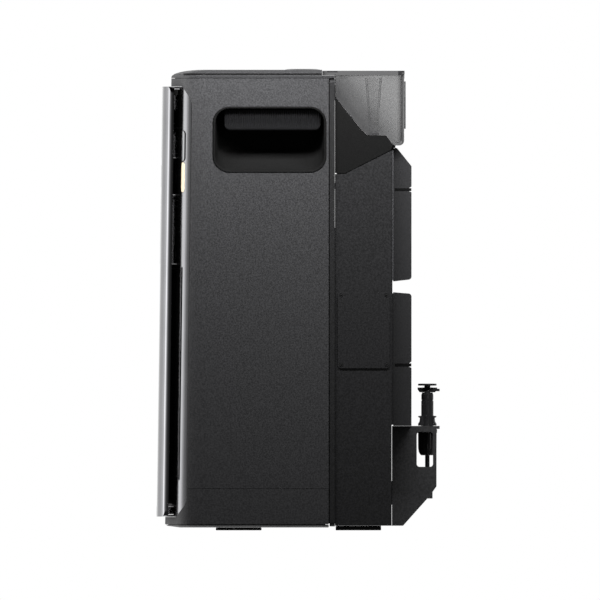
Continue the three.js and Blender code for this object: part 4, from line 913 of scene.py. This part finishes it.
def connector_nut():
    """The fluted nut under the bracket, with a flange at its top."""
    top = mm_box("inlet_nut")[1][2]
    profile = [(0, top - 25), (5.6, top - 25), (6.9, top - 24.2), (8, top - 21.8), (8.6, top - 18),
               (8.7, top - 4.2), (8.6, top - 3.8), (9.3, top - 3.6), (9.4, top - 3.4), (9.4, top - 0.2),
               (9.2, top), (0, top)]

    def ripple(a, w):
        return 1 + 0.03 * math.cos(12 * a) if top - 23 < w < top - 4 else 1

    obj = lathe("connector_nut", profile, 0, FIT_D, n=96, ripple=ripple)
    cut(obj, lathe("tool", [(6.2, top - 23.4), (6.2, top + 5)], 0, FIT_D, n=32))
    return cut(obj, lathe("tool", [(2.6, top - 30), (2.6, top + 5)], 0, FIT_D, n=24))


for maker, node in ((connector_body, "inlet_fitting"), (connector_nut, "inlet_nut")):
    piece(soften(maker(), 0.15), "casing", CONNECTOR, "matte_black", node)
piece(soften(connector_collet(), 0.15), "collet", CONNECTOR, "matte_black", "inlet_collet")
piece(soften(connector_clip(), 0.2), "clip", CONNECTOR, "matte_black", "inlet_clip")

route = [(FIT_D, 73), (FIT_D, 60), (FIT_D, 46), (257.6, 34), (250.4, 25), (240, 20), (229.2, 19)]
tube = swept("inlet_tube", [(0, d, z) for d, z in route], 2.2)
piece(soften(tube, 0), "casing", HOSE, "hose", "inlet_hose")
# ---- the frame's own nodes that keep their shape --------------------------------------------------
KEPT = [
    (MATT, 0.6, ["base_pan", "bay_housing", "drip_tray", "power_inlet"]),
    (CHASSIS, 0.5, ["rear_chassis", "service_panel"]),
    (COVER, 0.5, ["upper_rear_cover", "lower_rear_cover"]),
    (BRACKET, 0.35, ["inlet_bracket"]),
    (MATT, 0.12, ["rear_strip", "fan_frame"]),
    (DOCK, 0.12, ["tank_dock"]),
    (RUBBER, 0.8, ["foot_front_left", "foot_front_right", "foot_rear_left", "foot_rear_right"]),
    (TANK_SMOKE_PAINTED_SHADE, 0.06, ["water_tank"]),
    (SMOKE_THIN, 0.1, ["tank_valve"]),
    (SMOKE_LID, 0.12, ["tank_lid"]),
    (STEEL, 0.3, ["nozzle", "drip_grille", "hinge_upper", "hinge_lower", "pressure_vessel"]),
    (BRASS, 0.4, ["cylinder_valve", "regulator"]),
    (ALUMINIUM, 0.6, ["gas_cylinder", "power_supply"]),
    (GREY, 0.4, ["water_pump", "solenoid_valve", "fan_rotor"]),
    (BOARD, 0.1, ["control_board"]),
    (HOSE, 0.0, ["gas_hose", "feed_hose"]),
]
for material, width, names in KEPT:
    for node in names:
        paint(NODES[node], material)
        soften(NODES[node], width, 2, weld=True)


# ---- seals, fillers and painted shadow ------------------------------------------------------------
# Dark strips that close the frame's fine clearances, so that no light shows through a seam; at the louvres,
# dark strips of painted shadow.
# Painted shadow: dark bands laid just proud of the rear covers' sides and rear at their louvre grooves,
# which also close each groove's notch.
LOUVRES = [("upper", "upper_rear_cover", 325.6, 328.5), ("lower", "lower_rear_cover", 157.2, 160.3)]
for name, node, z0, z1 in LOUVRES:
    low, high = mm_box(node)
    painted_shadow_strip = block("louvre_painted_shadow_" + name, low[0] - 0.12, high[0] + 0.12, low[1] + 2, high[1] - 0.12, z0, z1)
    piece(soften(painted_shadow_strip, 0.2), "casing", DOCK, "matte_black")


def seal_strip():
    """The dark seal between the tank's floor and front wall and the dock."""
    line = [(172.07, 438), (172.07, 415.79), (196.87, 384.57), (202.49, 379.57), (220.78, 379.07),
            (227.37, 370.17), (229.6, 369.37)]
    under = [(171.4, 438), (171.4, 428), (169.9, 426), (169.9, 414.6), (195.2, 382.8), (201.6, 377),
             (219.3, 376.6), (225.9, 367.7), (229.4, 366.9)]
    return extrude("tank_seal", line + under[::-1], "x", -106.5, 106.5)


piece(seal_strip(), "casing", DOCK, "matte_black")


def lid_seal():
    """A thin frame under the lid that closes it against the tank's rim."""
    top = mm_box("tank_lid")[0][2]
    obj = extrude("lid_seal", rounded(-107.6, 172.6, 107.6, 234, 5), "z", top - 0.14, top - 0.01)
    return cut(obj, extrude("tool", rounded(-104.5, 175.5, 104.5, 231, 4), "z", top - 1, top + 1))


piece(lid_seal(), "lid", DOCK, "matte_black")
heel = soften(block("dock_heel", -100, 100, 222.5, 228.2, 361, 367.6), 0.3)
piece(heel, "casing", DOCK, "matte_black")
lip = soften(block("door_top_lip", -84, 84, 13.9, 22, 418, 423.6), 0.3)
piece(lean_all(lip), "door", DOCK, "matte_black")
for name, node, material in (("upper", "upper_rear_cover", GREY), ("lower", "lower_rear_cover", CHASSIS)):
    low, high = mm_box(node)
    gasket = block("cover_gasket_" + name, -104, 104, 226.5, 227.6, low[2] + 1, high[2] - 1)
    piece(soften(gasket, 0.1), "casing", material, "matte_black")
strip_high = mm_box("rear_strip")[1]
cover_low = mm_box("top_cover")[0]
corner = block("strip_top_filler", -108.4, 108.4, 161.5, strip_high[1] - 0.2, strip_high[2] - 6,
               cover_low[2] + 3.4)
piece(soften(corner, 0.2), "casing", DOCK, "matte_black")


# ---- studio ---------------------------------------------------------------------------------------
def flat_material(name, colour):
    """A matt, slightly mottled surface."""
    material, tree, bsdf = shader(name)
    mottled = noise(tree, 3.0, 2.0)
    tree.links.new(tint(tree, mottled, tuple(c * 0.98 for c in colour), colour), bsdf.inputs["Base Color"])
    bsdf.inputs["Roughness"].default_value = 0.8
    return material


FLOOR_REACH = 6.0
floor = bpy.data.objects.new("studio_floor", bpy.data.meshes.new("studio_floor"))
floor_corners = [(u * FLOOR_REACH, v * FLOOR_REACH, 0) for u, v in ((-1, -1), (1, -1), (1, 1), (-1, 1))]
floor.data.from_pydata(floor_corners, [], [(0, 1, 2, 3)])
bpy.context.scene.collection.objects.link(floor)
floor.location.z = -0.0003
floor.visible_diffuse = False
floor.visible_glossy = False
paint(floor, flat_material("pale_floor", (0.8, 0.8, 0.8)))
floor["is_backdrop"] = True


def area_light(name, place, target, size, power):
    """A rectangular lamp at a place, facing a target; places and sizes are in metres."""
    data = bpy.data.lights.new(name, "AREA")
    data.shape = "RECTANGLE"
    data.size, data.size_y = size
    data.energy = power
    obj = bpy.data.objects.new(name, data)
    obj.location = place
    obj.rotation_euler = (Vector(target) - Vector(place)).to_track_quat("-Z", "Y").to_euler()
    obj.visible_camera = False
    bpy.context.scene.collection.objects.link(obj)
    return obj


key = area_light("key_high", (0.415, 0.03, 0.75), (0.0, 0.03, 0.75), (1.1, 0.18), 27.0)
key.visible_glossy = False
area_light("sheen_low", (0.9, 0.35, 0.12), (0.0, 0.13, 0.1), (0.06, 0.6), 0.3)

# The room's brightness by bearing: (degrees from -X, brightness), in its front half and its rear half.
FRONT_HALF = [(0, 1.0), (10, 0.8), (20, 0.5), (32, 0.5), (42, 0.8), (50, 1.55), (60, 1.75), (70, 1.8),
              (80, 1.45), (90, 1.0), (100, 0.62), (110, 0.36), (125, 0.14), (145, 0.05), (180, 0.015)]
REAR_HALF = [(0, 1.0), (30, 0.7), (60, 0.35), (90, 0.15), (130, 0.05), (180, 0.015)]


def light_room(tree):
    """Soft panels all round that dim towards overhead, with a plain white backdrop for the camera."""
    lit = tree.nodes["Background"]
    coords = tree.nodes.new("ShaderNodeTexCoord")
    level = tree.nodes.new("ShaderNodeVectorMath")
    level.operation = "MULTIPLY"
    level.inputs[1].default_value = (1, 1, 0)
    tree.links.new(coords.outputs["Generated"], level.inputs[0])
    unit = tree.nodes.new("ShaderNodeVectorMath")
    unit.operation = "NORMALIZE"
    tree.links.new(level.outputs[0], unit.inputs[0])
    bearing = tree.nodes.new("ShaderNodeSeparateXYZ")
    tree.links.new(unit.outputs[0], bearing.inputs[0])
    angle = maths(tree, "ARCCOSINE", maths(tree, "MULTIPLY", bearing.outputs["X"], -1))
    share = maths(tree, "DIVIDE", angle, PI)
    halves = tree.nodes.new("ShaderNodeMixRGB")
    tree.links.new(maths(tree, "GREATER_THAN", bearing.outputs["Y"], 0), halves.inputs["Fac"])
    tree.links.new(levels(tree, share, 0, 180, FRONT_HALF), halves.inputs["Color1"])
    tree.links.new(levels(tree, share, 0, 180, REAR_HALF), halves.inputs["Color2"])
    tree.links.new(halves.outputs["Color"], lit.inputs["Color"])
    height = tree.nodes.new("ShaderNodeSeparateXYZ")
    tree.links.new(coords.outputs["Generated"], height.inputs[0])
    dimmed = spread(tree, height.outputs["Z"], 1.0, 0.12, 0.3, 0.65)
    tree.links.new(dimmed, lit.inputs["Strength"])
    seen = tree.nodes.new("ShaderNodeBackground")
    seen.inputs["Color"].default_value = (1, 1, 1, 1)
    path = tree.nodes.new("ShaderNodeLightPath")
    mix = tree.nodes.new("ShaderNodeMixShader")
    tree.links.new(path.outputs["Is Camera Ray"], mix.inputs["Fac"])
    tree.links.new(lit.outputs["Background"], mix.inputs[1])
    tree.links.new(seen.outputs["Background"], mix.inputs[2])
    tree.links.new(mix.outputs["Shader"], tree.nodes["World Output"].inputs["Surface"])


world = bpy.data.worlds.new("studio")
bpy.context.scene.world = world
world.use_nodes = True
light_room(world.node_tree)

camera_data = bpy.data.cameras.new("camera")
camera_data.type = "ORTHO"
camera_data.ortho_scale = 0.576
camera = bpy.data.objects.new("camera", camera_data)
camera.location = (3.0, 0.00195, 0.2211)
camera.rotation_euler = (PI / 2, 0, PI / 2)
bpy.context.scene.collection.objects.link(camera)
bpy.context.scene.camera = camera
bpy.context.scene.view_settings.view_transform = "Standard"

low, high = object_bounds()
